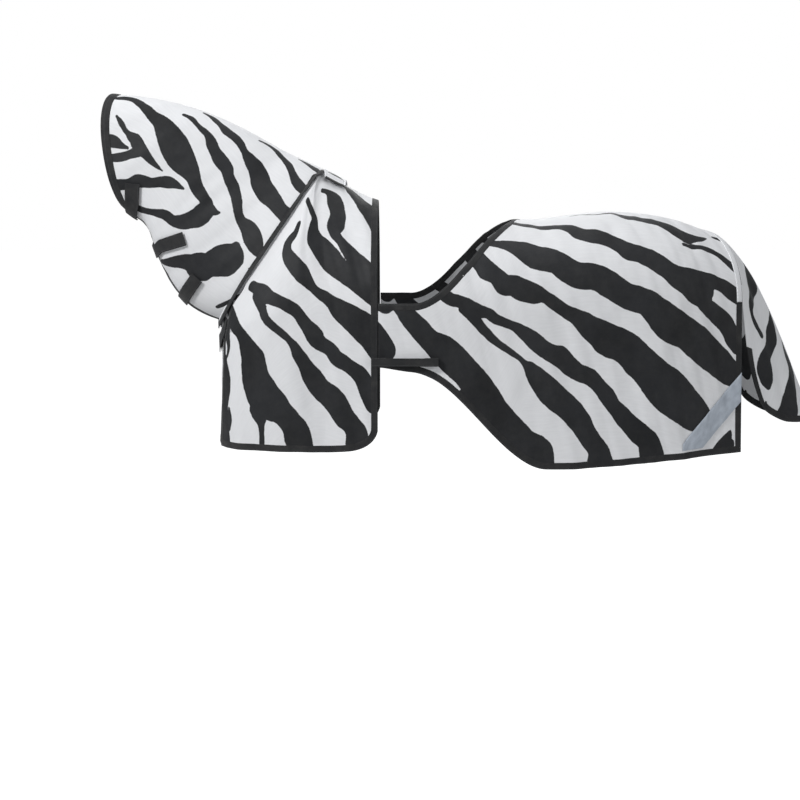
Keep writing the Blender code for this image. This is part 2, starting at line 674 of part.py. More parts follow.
# ---- the neck cover ----------------------------------------------------------------------------
def neck_panel(a, b):
    """a runs from the face edge to the rim over the neckline, b from the throat to the crest."""
    phi = THROAT_PHI + (math.pi - CREST_PHI - THROAT_PHI) * b
    stops = [0.0, 0.1, 0.2, 0.3, 0.4, 0.5, 0.6, 0.7, 0.8, 0.9, 0.955, 1.0, 1.0 + SKIRT_W / 2, 1.0 + SKIRT_W]
    s = float(np.interp(a * (len(stops) - 1), range(len(stops)), stops))
    return neck_point(s, phi)


def add_neck_cover(parts):
    ends = {"a0": FACE_BINDING_W, "b0": BINDING_W * 0.5}
    panel = inset(neck_panel, widened(ends, SEAM_GAP))
    pieces = []
    for side, flip in (("left", False), ("right", True)):
        turn = mirrored if flip else (lambda fn: fn)
        pieces.append(cloth(parts, "neck_panel_" + side, turn(panel), *NECK_GRID, CLOTH_T, "zebra"))
        pieces.append(binding(parts, "neck_binding_" + side, neck_panel, [(0, 1), (0, 0), (1, 0)], ends,
                              NECK_GRID, flip=flip))

    def crest_tape(a, b):
        w = 2 * b - 1
        s = 0.06 + 0.80 * a
        p = neck_point(s, math.pi - abs(w) * 0.16, INSIDE_LIFT)
        return p * np.array([1, -1, 1]) if w > 0 else p
    pieces.append(cloth(parts, "crest_seam_tape", crest_tape, 12, 2, TAPE_T, "tape"))

    for name, (root, toward, length, width) in NECK_TABS.items():
        axis = unit(np.array(toward, float))
        side_way = np.array([-axis[1], axis[0]])
        root = np.array(root)

        def tab(a, b, lift=TAB_LIFT, start=0.0, end=1.0, trim=0.0):
            """From the throat's centre line round its edge and back along the left side."""
            t = start + (end - start) * a
            edge = root + side_way * (width - trim) * (b - 0.5)
            s, phi = neck_place(*(edge + axis * length * max(t, TAB_WRAP)))
            turn = min(t / TAB_WRAP, 1)
            s0 = throat_s(edge)
            return neck_point(s0 + (s - s0) * turn, phi * turn, lift)

        def patch(a, b):
            return tab(a, b, PATCH_LIFT, 0.42, 0.96, 0.006)
        closing = cloth(parts, name, tab, 12, 3, TAPE_T, "hook")
        hinge_empty(parts, closing, name + "_hinge", tab(0, 0.5))
        pieces.append(cloth(parts, name.replace("_tab", "_loop_patch"), patch, 5, 2, TAPE_T, "hook"))
    return pieces


def throat_s(point):
    """The ring whose throat point is nearest to a point seen from the side."""
    s = np.linspace(0, 1, 101)
    gaps = [np.linalg.norm(neck_raw(t, 0.0)[[0, 2]] - point) for t in s]
    return s[int(np.argmin(gaps))]


def add_withers_tab(parts):
    """The cloth band across the withers that holds the neck cover's rim down at the top."""
    def band(a, b):
        w = 2 * b - 1
        p = body_point(1.02 + WITHERS_TAB_U * a, abs(w) * WITHERS_TAB_HALF, WITHERS_TAB_LIFT)
        return p * np.array([1, -1, 1]) if w > 0 else p
    tab = cloth(parts, "withers_tab", band, 4, 8, CLOTH_T, "zebra")
    hinge_empty(parts, tab, "withers_tab_hinge", band(0, 0.5) + np.array([0, 0, HINGE_PROUD]))


def main():
    clear_scene()
    parts = collection("fly_sheet")
    add_front(parts)
    add_chest_closure(parts)
    add_quarters(parts)
    add_tail_flap(parts)
    add_girth_straps(parts)
    add_neck_cover(parts)
    add_withers_tab(parts)
    bpy.context.view_layer.update()


main()
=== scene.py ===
"""Riding fly sheet with a full neck cover: the visible cloth, edgings, tabs and straps."""
import math
import bmesh
import bpy
import numpy as np
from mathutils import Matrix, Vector, noise
from mathutils.bvhtree import BVHTree


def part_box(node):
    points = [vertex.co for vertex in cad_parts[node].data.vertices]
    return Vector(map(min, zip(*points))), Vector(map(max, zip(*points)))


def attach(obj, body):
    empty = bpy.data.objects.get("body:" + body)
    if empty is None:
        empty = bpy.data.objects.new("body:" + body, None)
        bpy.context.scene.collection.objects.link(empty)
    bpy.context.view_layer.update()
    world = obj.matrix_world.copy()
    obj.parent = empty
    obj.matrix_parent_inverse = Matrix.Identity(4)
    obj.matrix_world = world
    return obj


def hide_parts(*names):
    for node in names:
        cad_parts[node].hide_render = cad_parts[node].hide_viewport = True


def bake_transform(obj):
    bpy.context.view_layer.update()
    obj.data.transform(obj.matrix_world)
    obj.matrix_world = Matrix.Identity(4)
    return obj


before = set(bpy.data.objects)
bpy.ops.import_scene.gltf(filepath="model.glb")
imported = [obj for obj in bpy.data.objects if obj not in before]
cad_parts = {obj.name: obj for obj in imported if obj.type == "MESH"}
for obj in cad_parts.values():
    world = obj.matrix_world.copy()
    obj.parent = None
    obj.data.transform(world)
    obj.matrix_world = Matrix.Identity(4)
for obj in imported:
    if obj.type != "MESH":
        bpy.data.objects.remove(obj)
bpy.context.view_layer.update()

# ---- sizes, in metres --------------------------------------------------------------------------
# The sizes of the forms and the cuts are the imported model's, so the cloth lies where its solids do.
BACK_LENGTH = 1.208
WITHERS_X = -0.036
HEM_Z = -0.880
FRONT_HEM_Z = -0.832
BELLY_Z = -0.565
OPENING_Z = -0.375
SHOULDER_HALF = 0.272
BARREL_HALF = 0.308
HIP_HALF = 0.298
BUTTOCK_HALF = 0.205
NECK_BASE_HALF = 0.175
SHOULDER_REAR_X = 0.144
OPENING_REAR_X = 0.585
ARCH_FRONT_X = 0.250
ARCH_REAR_X = 0.660
HEM_RISE = 0.040
CORNER = 0.080
SEAM_GAP = 0.0012
BINDING_W = 0.021
FACE_BINDING_W = 0.028
THROAT_BINDING_W = 0.032
RIM_BINDING_W = 0.017
CLOTH_T = 0.0010
BINDING_T = 0.0030
TAPE_T = 0.0014
PATCH_LIFT = 0.0036
TAB_LIFT = 0.0080
FLAP_LIFT = 0.0065
SKIRT_LIFT = 0.0090
SKIRT_W = 0.036
STRIP_LIFT = 0.0032
WITHERS_TAB_LIFT = 0.0130
INSIDE_LIFT = -0.0100
SEAM_Z = -0.385              # foot of the seam between the quarters and the tail cover
SEAM_BAND_Z = -0.380         # where the white band on the quarters' rear edge ends
BODY_ROWS = [
    (0.000, 0.024, 0.013, SHOULDER_HALF, -0.400, SHOULDER_HALF - 0.004),
    (0.149, -0.066, 0.149, BARREL_HALF - 0.008, -0.385, BARREL_HALF - 0.014),
    (0.336, -0.105, 0.336, BARREL_HALF, -0.400, BARREL_HALF - 0.006),
    (0.526, -0.126, 0.526, BARREL_HALF, -0.400, BARREL_HALF - 0.008),
    (0.733, -0.102, 0.740, HIP_HALF, -0.385, HIP_HALF - 0.004),
    (0.884, -0.116, 0.905, HIP_HALF - 0.022, -0.385, HIP_HALF - 0.026),
    (1.000, -0.162, 1.074, BUTTOCK_HALF, -0.400, BUTTOCK_HALF - 0.006),
]
LAST = len(BODY_ROWS)
REAR_FOOT_DX = 0.010
HANG_Z = -1.100
TOP_SHARPNESS = (1.75, 2.25)
CHEST_NECK = (-0.359, -0.436)
CHEST_FRONT_X = -0.355
CHEST_WIDE_Z = -0.600
CHEST_PLAN = 2.8
NECK_ROWS = [
    (-0.690, 0.267, -0.645, -0.098, 0.088),
    (-0.560, 0.252, -0.582, -0.155, 0.100),
    (-0.430, 0.221, -0.553, -0.245, 0.112),
    (-0.300, 0.168, -0.515, -0.330, 0.126),
    (-0.165, 0.095, -0.445, -0.408, 0.146),
    (WITHERS_X, 0.024, *CHEST_NECK, NECK_BASE_HALF),
]
FACE_BOW = 0.045
NECK_ROUND = 2.2
THROAT_PHI = 0.10
CREST_PHI = 0.014
FLAP_FRONT_U = 0.28
FLAP_FOLD_TOP_U = 0.40
FLAP_FOLD_U = 0.58
FLAP_TOP_Q = 0.052
UNDERLAP_BACK_U = 0.12
NECKLINE_Q = 0.012
TAIL_ROWS = [
    (0.104, 0.024, 0.200, -0.470, 0.250),
    (0.114, 0.134, 0.172, -0.620, 0.170),
    (0.202, 0.158, 0.130, -0.755, -0.010),
]
TAIL_CORNER_FROM = 0.72      # where the rounded lower corners begin, as a share of the half width
TAIL_CORNER_CUT = 0.13       # how far the corner rises, as a share of the cover's length
TAIL_EDGING_FROM = 0.46      # the cover's edge is free from here down
STRIP_START = (1.075, -0.807)    # the strip's upper front corner, (x, z)
STRIP_RUN = (0.190, 0.215)       # how far it runs back and up
STRIP_W = 0.080
STRIP_SLANT = 1.15           # its height measured upright, as a share of its width
STRIP_CLEAR = 0.006          # kept above the hem binding
PUCKER = 0.0005              # how high the edging's stitched tape waves
WEBBING_LAYERS = 4

# ---- the drape ---------------------------------------------------------------------------------
# Each set of folds: noise cells per metre across and along them, seed, height of the noise at the
# top of the cloth, and how much more there is at the hem.
BODY_FOLDS = [
    (7.5, 1.5, 3.1, 0.0045, 0.0100),
    (21.0, 2.6, 8.7, 0.0046, 0.0024),
    (44.0, 3.6, 1.9, 0.0021, 0.0),
]
SLANT_FOLDS = (13.0, 2.5, 5.3, 0.0030)
NECK_FOLDS = [(3.0, 14.0, 2.2, 0.0042), (5.0, 30.0, 6.4, 0.0018)]
TAIL_FOLDS = [(11.0, 1.6, 4.4, 0.011), (24.0, 3.0, 9.4, 0.003)]


# ---- small helpers -----------------------------------------------------------------------------
def smooth(t):
    t = np.clip(t, 0.0, 1.0)
    return t * t * (3.0 - 2.0 * t)


def power(value, exponent):
    return np.sign(value) * np.abs(value) ** exponent


def unit(v):
    return v / np.maximum(np.linalg.norm(v, axis=-1, keepdims=True), 1e-12)


def spline(rows, t):
    """Catmull-Rom curve through the rows, with t counted in rows."""
    rows = np.asarray(rows, float)
    i = min(max(int(math.floor(t)), 0), len(rows) - 2)
    f = t - i
    p1, p2 = rows[i], rows[i + 1]
    p0 = rows[i - 1] if i > 0 else 2 * p1 - p2
    p3 = rows[i + 2] if i + 2 < len(rows) else 2 * p2 - p1
    m1, m2 = (p2 - p0) / 2, (p3 - p1) / 2
    return ((2 * f**3 - 3 * f**2 + 1) * p1 + (f**3 - 2 * f**2 + f) * m1
            + (-2 * f**3 + 3 * f**2) * p2 + (f**3 - f**2) * m2)


def lengths_along(points):
    return np.concatenate([[0], np.cumsum(np.linalg.norm(np.diff(points, axis=0), axis=1))])


def grid_lengths(points, axis):
    """Lengths along every line of a grid of points, one way."""
    first = points[:1] if axis == 0 else points[:, :1]
    return np.cumsum(np.linalg.norm(np.diff(points, axis=axis, prepend=first), axis=2), axis=axis)


def unit_grid(nx, ny):
    return np.meshgrid(np.linspace(0, 1, nx), np.linspace(0, 1, ny), indexing="ij")


def over_the_middle(w, points):
    """Left-side points, those where w is above 0 sent over to the right side."""
    points[..., 1] *= np.where(w > 0, -1, 1)
    return points


# ---- the forms the cloth lies on ---------------------------------------------------------------
def neck_ring(phi, row):
    cx, cz, tx, tz, half = row
    c, s = power(np.cos(phi), 2 / NECK_ROUND), power(np.sin(phi), 2 / NECK_ROUND)
    return np.stack([(cx + tx) / 2 + (tx - cx) / 2 * c, -half * s, (cz + tz) / 2 + (tz - cz) / 2 * c], -1)


def body_line(u):
    """Start, widest point and foot of the hanging line at station u, from the chest to the rear."""
    if u < 1.0:
        a = math.pi / 2 * u
        along, across = math.cos(a) ** (2 / CHEST_PLAN), math.sin(a) ** (2 / CHEST_PLAN)
        back_x = WITHERS_X + 0.013 * BACK_LENGTH
        wide_x = back_x + (CHEST_FRONT_X - back_x) * along
        wide_z = CHEST_WIDE_Z + (BODY_ROWS[0][4] - CHEST_WIDE_Z) * math.sin(a)
        wide = np.array([wide_x, -SHOULDER_HALF * across, wide_z])
        foot = np.array([wide_x - 0.010 * along, -(SHOULDER_HALF - 0.004) * across, HEM_Z])
        return neck_ring(math.pi * u, NECK_ROWS[-1]), wide, foot
    top_x, top_z, wide_x, half, wide_z, foot_half = spline(BODY_ROWS, u - 1.0)
    start = np.array([WITHERS_X + top_x * BACK_LENGTH, 0.0, top_z])
    wide = np.array([WITHERS_X + wide_x * BACK_LENGTH, -half, wide_z])
    lean = REAR_FOOT_DX * float(smooth(u - LAST + 1))
    return start, wide, np.array([wide[0] + lean, -foot_half, HEM_Z])


def body_polyline(u):
    start, wide, foot = body_line(u)
    n = TOP_SHARPNESS[0] + (TOP_SHARPNESS[1] - TOP_SHARPNESS[0]) * smooth((u - 1.0) / 4.0)
    t = np.linspace(0, math.pi / 2, 33)
    bulge, fall = np.sin(t) ** (2 / n), 1 - np.maximum(np.cos(t), 0.0) ** (2 / n)
    soft = np.sin(math.pi / 2 * fall)
    share = np.stack([fall + (bulge - fall) * smooth((u - 0.8) / 0.4),
                      soft + (bulge - soft) * smooth((u - 0.45) / 0.5), fall], -1)
    top = start + (wide - start) * share
    drop = (foot - wide) / (foot[2] - wide[2])
    low = wide + drop * (np.linspace(wide[2], HANG_Z, 13)[1:, None] - wide[2])
    points = np.concatenate([top, low])
    return points, lengths_along(points)


def soft_folds(x, z, across, down, seed):
    """Gentle drape folds: noise stretched along the fall of the cloth."""
    out = np.empty(x.shape)
    for k, (a, b) in enumerate(zip(x.ravel(), z.ravel())):
        lean = a + 0.25 * b
        out.flat[k] = noise.noise(Vector((lean * across, b * down, seed)))
    return out


class Form:
    """A surface kept as a fine grid of points, with its normals, its print coordinates and its lines."""

    def __init__(self, us, vs, points, coords, outward):
        self.us, self.vs, self.coords = us, vs, coords
        self.points, self.outward = points, outward
        self.plain = points.copy()
        self.normals = self.find_normals()

    def find_normals(self):
        du, dv = np.gradient(self.points, axis=0), np.gradient(self.points, axis=1)
        return unit(np.cross(dv, du) * self.outward)

    def displace(self, amount):
        self.points = self.points + self.normals * amount[..., None]
        self.normals = self.find_normals()

    def read(self, table, u, v):
        i = np.clip((u - self.us[0]) / (self.us[1] - self.us[0]), 0, len(self.us) - 1.001)
        j = np.clip((v - self.vs[0]) / (self.vs[1] - self.vs[0]), 0, len(self.vs) - 1.001)
        i0, j0 = np.floor(i).astype(int), np.floor(j).astype(int)
        fi, fj = (i - i0)[..., None], (j - j0)[..., None]
        return ((table[i0, j0] * (1 - fi) + table[i0 + 1, j0] * fi) * (1 - fj)
                + (table[i0, j0 + 1] * (1 - fi) + table[i0 + 1, j0 + 1] * fi) * fj)

    def at(self, u, v, lift=0.0):
        """Points on the form, or off it by a lift, and the print coordinates there."""
        u, v = np.broadcast_arrays(np.asarray(u, float), np.asarray(v, float))
        lift = np.asarray(lift, float) * np.ones(u.shape)
        n = unit(self.read(self.normals, u, v))
        return self.read(self.points, u, v) + n * lift[..., None], self.read(self.coords, u, v)


def make_body():
    us, qs = np.linspace(0, LAST, 631), np.linspace(0, 1.30, 261)
    lines = [body_polyline(u) for u in us]
    points = np.array([[np.interp(qs, l, p[:, k]) for k in range(3)] for p, l in lines]).transpose(0, 2, 1)
    wides = np.array([body_line(u)[1] for u in us])
    flat = lengths_along(wides[:, :2])
    flat += wides[90, 0] - flat[90]
    wide_q = np.array([np.interp(-w[2], -p[:, 2], l) for w, (p, l) in zip(wides, lines)])
    coords = np.stack([np.broadcast_to(flat[:, None], (len(us), len(qs))),
                       wides[:, 2][:, None] - (qs[None] - wide_q[:, None])], -1)
    return Form(us, qs, points, coords, 1.0)


def make_neck():
    ss, phis = np.linspace(0, 1, 121), np.linspace(0, math.pi, 181)
    rows = [spline(NECK_ROWS, s * (len(NECK_ROWS) - 1)) for s in ss]
    points = np.array([neck_ring(phis, row) for row in rows])
    bow = FACE_BOW * (1 - ss[:, None]) ** 3 * np.abs(np.sin(phis))[None]
    points[..., 0] -= bow
    coords = np.empty(points.shape[:2] + (2,))
    for k, row in enumerate(points):
        arc = lengths_along(row)
        middle = row[90, [0, 2]]
        way = unit(row[-1, [0, 2]] - row[0, [0, 2]])
        coords[k] = middle + way * (arc - arc[90])[:, None]
    return Form(ss, phis, points, coords, -1.0)


def length_at_z(u, z):
    points, lengths = body_polyline(u)
    return float(np.interp(-z, -points[:, 2], lengths))


def station_at_x(x, z):
    low, high = 1.0, float(LAST)
    for _ in range(40):
        mid = (low + high) / 2
        points, lengths = body_polyline(mid)
        if np.interp(-z, -points[:, 2], points[:, 0]) < x:
            low = mid
        else:
            high = mid
    return (low + high) / 2


BODY = make_body()
NECK = make_neck()
SHOULDER_END = station_at_x(SHOULDER_REAR_X - SEAM_GAP, -0.5)
QUARTER_START = station_at_x(SHOULDER_REAR_X + SEAM_GAP, -0.5)
SEAM_Q = length_at_z(LAST, SEAM_Z)
OPENING_END_U = station_at_x(OPENING_REAR_X, -0.2)
SEAM_POINTS = BODY.at(LAST, np.linspace(0, SEAM_Q, 60))[0]


def add_folds():
    """The drape: it fades out where the cloth is sewn or lies tight, and grows towards the hems."""
    u, q = np.meshgrid(BODY.us, BODY.vs, indexing="ij")
    x, z = BODY.coords[..., 0], BODY.coords[..., 1]
    low = smooth((-0.25 - z) / 0.55)
    folds = sum(soft_folds(x, z, *kind) * (height + more * low) for *kind, height, more in BODY_FOLDS)
    *kind, height = SLANT_FOLDS
    folds += soft_folds(x - 0.8 * z, z + x, *kind) * height
    hold = smooth(q / 0.10) * smooth((LAST - u) / 0.35 + 0.15)
    hold *= smooth(np.abs(x - SHOULDER_REAR_X) / 0.05 + 0.45)
    chest = smooth((0.75 - u) / 0.4)
    BODY.displace(folds * hold * (1 - 0.45 * chest))
    x, z = NECK.coords[..., 0], NECK.coords[..., 1]
    s, phi = np.meshgrid(NECK.us, NECK.vs, indexing="ij")
    hold = smooth(s / 0.12 + 0.1) * smooth((1 - s) / 0.15) * smooth((math.pi - phi) / 0.35)
    hold *= smooth(phi / 0.5 + 0.2)
    along, across = x * 0.8 + z * 0.6, x * 0.6 - z * 0.8
    NECK.displace(sum(soft_folds(along, across, *kind) * height for *kind, height in NECK_FOLDS) * hold)


add_folds()


def body_at(u, q, lift=0.0):
    """u < 0 is the right side, met through the chest; the left is at -Y."""
    u = np.asarray(u, float)
    p, c = BODY.at(np.abs(u), q, lift)
    p[..., 1] *= np.where(u < 0, -1, 1)
    return p, c


def neck_at(s, phi, lift=0.0):
    """The neck cover: past s = 1 its rim lies over the body's neckline."""
    s, phi = np.broadcast_arrays(np.asarray(s, float), np.asarray(phi, float))
    inner = np.clip(s, 0, 1)
    u, q = np.clip(phi / math.pi, 0, 1), np.maximum(s - 1.0, 0)
    n1 = unit(NECK.read(NECK.normals, inner, phi))
    n2 = unit(BODY.read(BODY.normals, u, q))
    mix = smooth((s - 0.97) / 0.06)[..., None]
    n = unit(n1 * (1 - mix) + n2 * mix)
    base = np.where((s > 1)[..., None], BODY.read(BODY.points, u, q), NECK.read(NECK.points, inner, phi))
    rim = smooth((s - 0.80) / 0.20) * SKIRT_LIFT
    coords = NECK.read(NECK.coords, inner, phi) + np.stack([q, -q], -1) * 0.7
    return base + n * (lift + rim)[..., None], coords


# ---- the cuts ----------------------------------------------------------------------------------
def front_hem_z(u):
    x = body_line(u)[2][0]
    rise = CORNER - math.sqrt(max(CORNER**2 - max(x - (SHOULDER_REAR_X - CORNER), 0) ** 2, 0))
    return FRONT_HEM_Z + 0.012 * smooth(u - 1) + 0.85 * rise


def fold_u(q):
    return FLAP_FOLD_TOP_U + (FLAP_FOLD_U - FLAP_FOLD_TOP_U) * smooth(q / 0.30)


def opening_z(x):
    top = body_line(OPENING_END_U)[0][2]
    return OPENING_Z + (top - OPENING_Z) * smooth((x - ARCH_FRONT_X) / (OPENING_REAR_X - ARCH_FRONT_X))


def belly_z(x):
    t = smooth((x - ARCH_FRONT_X) / (ARCH_REAR_X - ARCH_FRONT_X))
    rise = HEM_RISE * smooth((x - ARCH_REAR_X) / 0.70)
    return BELLY_Z + (HEM_Z - BELLY_Z) * t - 0.020 * smooth((x - 0.1) / 0.2) * (1 - t) + rise


FRONT_US = np.linspace(0, SHOULDER_END, 160)
FRONT_BOTTOM = np.array([length_at_z(u, front_hem_z(u)) for u in FRONT_US])
QUARTER_US = np.linspace(QUARTER_START, LAST, 200)
QUARTER_X = np.array([body_line(u)[1][0] for u in QUARTER_US])
QUARTER_TOP = np.array([SEAM_GAP if x >= OPENING_REAR_X else max(length_at_z(u, opening_z(x)), SEAM_GAP)
                        for u, x in zip(QUARTER_US, QUARTER_X)])
QUARTER_BOTTOM = np.array([length_at_z(u, belly_z(x)) for u, x in zip(QUARTER_US, QUARTER_X)])


def neckline_q(u):
    return NECKLINE_Q + (SEAM_GAP - NECKLINE_Q) * smooth((np.abs(u) - 0.97) / 0.03)


def front_left(a, b):
    """Left front with its chest flap in one cloth, from the flap's front edge to the rear edge."""
    first = FLAP_FRONT_U - 0.05 * b
    u = first + a * (SHOULDER_END - first)
    fold = fold_u(0.45 * b)
    top = FLAP_TOP_Q + (neckline_q(u) - FLAP_TOP_Q) * smooth((u - FLAP_FOLD_TOP_U + 0.02) / 0.06)
    q = top + (np.interp(u, FRONT_US, FRONT_BOTTOM) - top) * b
    lift = FLAP_LIFT * (1 - smooth((u - fold + 0.10) / 0.13))
    return body_at(u, q, lift)


def front_right(a, b):
    """Written for the left and mirrored: the right front reaches round past the chest."""
    under = fold_u(0.45 * b) - UNDERLAP_BACK_U
    w = -under + a * (SHOULDER_END + under)
    top = neckline_q(w)
    q = top + (np.interp(np.abs(w), FRONT_US, FRONT_BOTTOM) - top) * b
    return body_at(w, q)


def quarter(a, b):
    u = QUARTER_START + a * (LAST - QUARTER_START)
    top, bottom = np.interp(u, QUARTER_US, QUARTER_TOP), np.interp(u, QUARTER_US, QUARTER_BOTTOM)
    return body_at(u, top + (bottom - top) * b)


def neck_panel(a, b):
    return neck_at(a * (1.0 + SKIRT_W), THROAT_PHI + (math.pi - CREST_PHI - THROAT_PHI) * b)


def tail_surface(a, b):
    w = 2 * a - 1
    reach = np.maximum(np.abs(w) * SEAM_Q, SEAM_GAP)
    top = np.stack([np.interp(reach, np.linspace(0, SEAM_Q, 60), SEAM_POINTS[:, k]) for k in range(3)], -1)
    top = over_the_middle(w, top) + np.array([SEAM_GAP * 2, 0, -SEAM_GAP])
    across, out = np.sin(math.pi / 2 * w), np.cos(math.pi / 2 * w)
    rear = WITHERS_X + BACK_LENGTH
    rows = [np.stack([rear + back + more * out, half * across, z + rise * out], -1)
            for back, more, half, z, rise in TAIL_ROWS]
    b, c = b[..., None], 1 - b[..., None]
    return c**3 * top + 3 * c * c * b * rows[0] + 3 * c * b * b * rows[1] + b**3 * rows[2]


def make_tail():
    a, b = unit_grid(121, 121)
    points = tail_surface(a, b)
    rows, down = grid_lengths(points, 0), grid_lengths(points, 1)
    reach = np.minimum(rows, rows[-1:] - rows)
    coords = np.stack([points[:1, :, 0] + reach, points[:, -1:, 2] + down[:, -1:] - down], -1)
    form = Form(a[:, 0], b[0], points, coords, 1.0)
    folds = sum(soft_folds(rows, down, *kind) * height for *kind, height in TAIL_FOLDS)
    form.displace(folds * smooth(b / 0.45) * smooth(a / 0.10 + 0.25) * smooth((1 - a) / 0.10 + 0.25))
    return form


TAIL = make_tail()


def tail_cover(a, b):
    """The tail cover, with its lower corners cut round."""
    w = np.sin(math.pi / 2 * (2 * a - 1))
    corner = np.clip((np.abs(w) - TAIL_CORNER_FROM) / (1 - TAIL_CORNER_FROM), 0, 1)
    return TAIL.at((w + 1) / 2, b * (1 - TAIL_CORNER_CUT * (1 - np.sqrt(1 - corner**2))))


# ---- building pieces ---------------------------------------------------------------------------
def new_piece(name, bm, material):
    mesh = bpy.data.meshes.new(name)
    bm.to_mesh(mesh)
    bm.free()
    piece = bpy.data.objects.new(name, mesh)
    bpy.context.scene.collection.objects.link(piece)
    mesh.materials.append(material)
    mesh.shade_smooth()
    return piece


def set_grid(name, points, material, coords=None, closed=False, wall=None, part=None):
    """A grid of faces carried onto an array of points (across, down), with a UV map in metres."""
    nx, ny = points.shape[:2]
    bm = bmesh.new()
    bmesh.ops.create_grid(bm, x_segments=nx - 1, y_segments=ny - 1, size=0.5)
    uv_layer = bm.loops.layers.uv.new("cloth")
    bm.verts.ensure_lookup_table()
    cells = [(round((v.co.x + 0.5) * (nx - 1)), round((v.co.y + 0.5) * (ny - 1))) for v in bm.verts]
    uvs = np.stack([grid_lengths(points, 0), grid_lengths(points, 1)], -1)
    for v, (i, j) in zip(bm.verts, cells):
        v.co = points[i, j]
    for face in bm.faces:
        for loop in face.loops:
            i, j = cells[loop.vert.index]
            loop[uv_layer].uv = uvs[i, j]
    if part:
        layer = bm.verts.layers.float.new("ink")
        ink = print_ink(coords.reshape(-1, 2), part).reshape(nx, ny)
        for v, (i, j) in zip(bm.verts, cells):
            v[layer] = ink[i, j]
    if closed:
        bmesh.ops.remove_doubles(bm, verts=bm.verts, dist=1e-6)
        ends = [e for e in bm.edges if e.is_boundary]
        bmesh.ops.holes_fill(bm, edges=ends, sides=0)
    bmesh.ops.recalc_face_normals(bm, faces=bm.faces)
    piece = new_piece(name, bm, material)
    if wall:
        shell = piece.modifiers.new("thickness", "SOLIDIFY")
        shell.thickness, shell.offset, shell.use_rim = wall, 0.0, True
    return piece


def turned(points, flip):
    return points * np.array([1, -1, 1]) if flip else points


# A point inside each part of the sheet, to tell its outside from its inside.
INSIDE = {"body": (0.30, 0.0, -0.45), "neck": (-0.42, 0.0, -0.05), "tail": (1.20, 0.0, -0.50)}


class Panel:
    """One cut piece of cloth, with its own points, so that its edging follows them exactly."""

    def __init__(self, name, fn, nx, ny, material, part, flip=False):
        self.points, self.coords = fn(*unit_grid(nx, ny))
        self.points = turned(self.points, flip)
        du, dv = np.gradient(self.points, axis=0), np.gradient(self.points, axis=1)
        self.normals = unit(np.cross(dv, du))
        centre = np.array(INSIDE[part])
        if (self.normals * (self.points - centre)).sum() < 0:
            self.normals = -self.normals
        self.piece = set_grid(name, self.points, material, self.coords, wall=CLOTH_T, part=part)
        self.length = max(lengths_along(self.points[i]).max() for i in range(0, nx, max(nx // 12, 1)))
        self.width = max(lengths_along(self.points[:, j]).max() for j in range(0, ny, max(ny // 8, 1)))
        d1 = np.diff(self.points, axis=0)[:, :-1]
        d2 = np.diff(self.points, axis=1)[:-1]
        self.area = float(np.linalg.norm(np.cross(d1, d2), axis=2).sum())
        cells = [(i * ny + j, i * ny + j + 1, (i + 1) * ny + j + 1, (i + 1) * ny + j)
                 for i in range(nx - 1) for j in range(ny - 1)]
        self.surface = BVHTree.FromPolygons([Vector(v) for v in self.points.reshape(-1, 3)], cells)

    def border(self, corners):
        """Points, normals and inward directions on a walk between grid corners (0 to 1)."""
        nx, ny = self.points.shape[:2]
        path, inward = [], []
        for k, ((a0, b0), (a1, b1)) in enumerate(zip(corners, corners[1:])):
            i0, j0, i1, j1 = (round(a0 * (nx - 1)), round(b0 * (ny - 1)), round(a1 * (nx - 1)),
                              round(b1 * (ny - 1)))
            steps = max(abs(i1 - i0), abs(j1 - j0))
            cells = [(i0 + (i1 - i0) * s // steps, j0 + (j1 - j0) * s // steps) for s in range(steps + 1)]
            step = (1 if i0 == i1 and i0 == 0 else -1 if i0 == i1 else 0,
                    1 if j0 == j1 and j0 == 0 else -1 if j0 == j1 else 0)
            for cell in cells if k == 0 else cells[1:]:
                path.append(cell)
                inward.append(step)
            if k:
                corner = len(path) - len(cells)
                inward[corner] = (inward[corner - 1][0] + step[0], inward[corner - 1][1] + step[1])
        p = np.array([self.points[c] for c in path])
        n = np.array([self.normals[c] for c in path])
        m = np.array([self.points[c[0] + 2 * s[0], c[1] + 2 * s[1]] for c, s in zip(path, inward)]) - p
        m = m - n * (m * n).sum(1)[:, None]
        long = unit(np.gradient(p, axis=0))
        square = unit(m)
        square = unit(square - long * (square * long).sum(1)[:, None] * 0.9)
        return p, n, square


def edging(name, panel, corners, width, material, thick=BINDING_T):
    """Folded tape round a panel's edge, its two halves held by stitches near their inner edges."""
    p, n, inward = panel.border(corners)
    for _ in range(3):
        inward[1:-1] = unit(inward[:-2] + inward[1:-1] * 2 + inward[2:])
    width = width * np.ones(len(p)) if np.isscalar(width) else width(np.linspace(0, 1, len(p)))
    half = thick / 2
    along = lengths_along(p)
    wave = (np.sin(along * 2 * math.pi / 0.061) + np.sin(along * 2 * math.pi / 0.037 + 1.3)) * PUCKER / 2
    # across the tape: (share of the width inwards, height over the cloth)
    section = [(1.0, 0.10), (0.99, 0.72), (0.93, 0.88), (0.84, 0.70), (0.72, 0.98), (0.40, 1.0), (0.14, 1.0),
               (0.03, 0.70), (0.0, 0.0)]
    section = section + [(s, -h) for s, h in reversed(section[:-1])]
    rows, on_cloth = [], {}
    for s, h in section:
        if s not in on_cloth:
            wanted = p + inward * (width * s - 0.0006)[:, None]
            on_cloth[s] = wanted if s < 0.1 else np.array([panel.surface.find_nearest(Vector(w))[0]
                                                           for w in wanted])
        bump = wave * (1.0 if 0.2 < s < 0.95 else 0.3) * np.sign(h)
        rows.append(on_cloth[s] + n * (half * h + bump)[:, None])
    rows.append(rows[0])
    points = np.stack(rows, 1)
    return set_grid(name, points, material, closed=True)


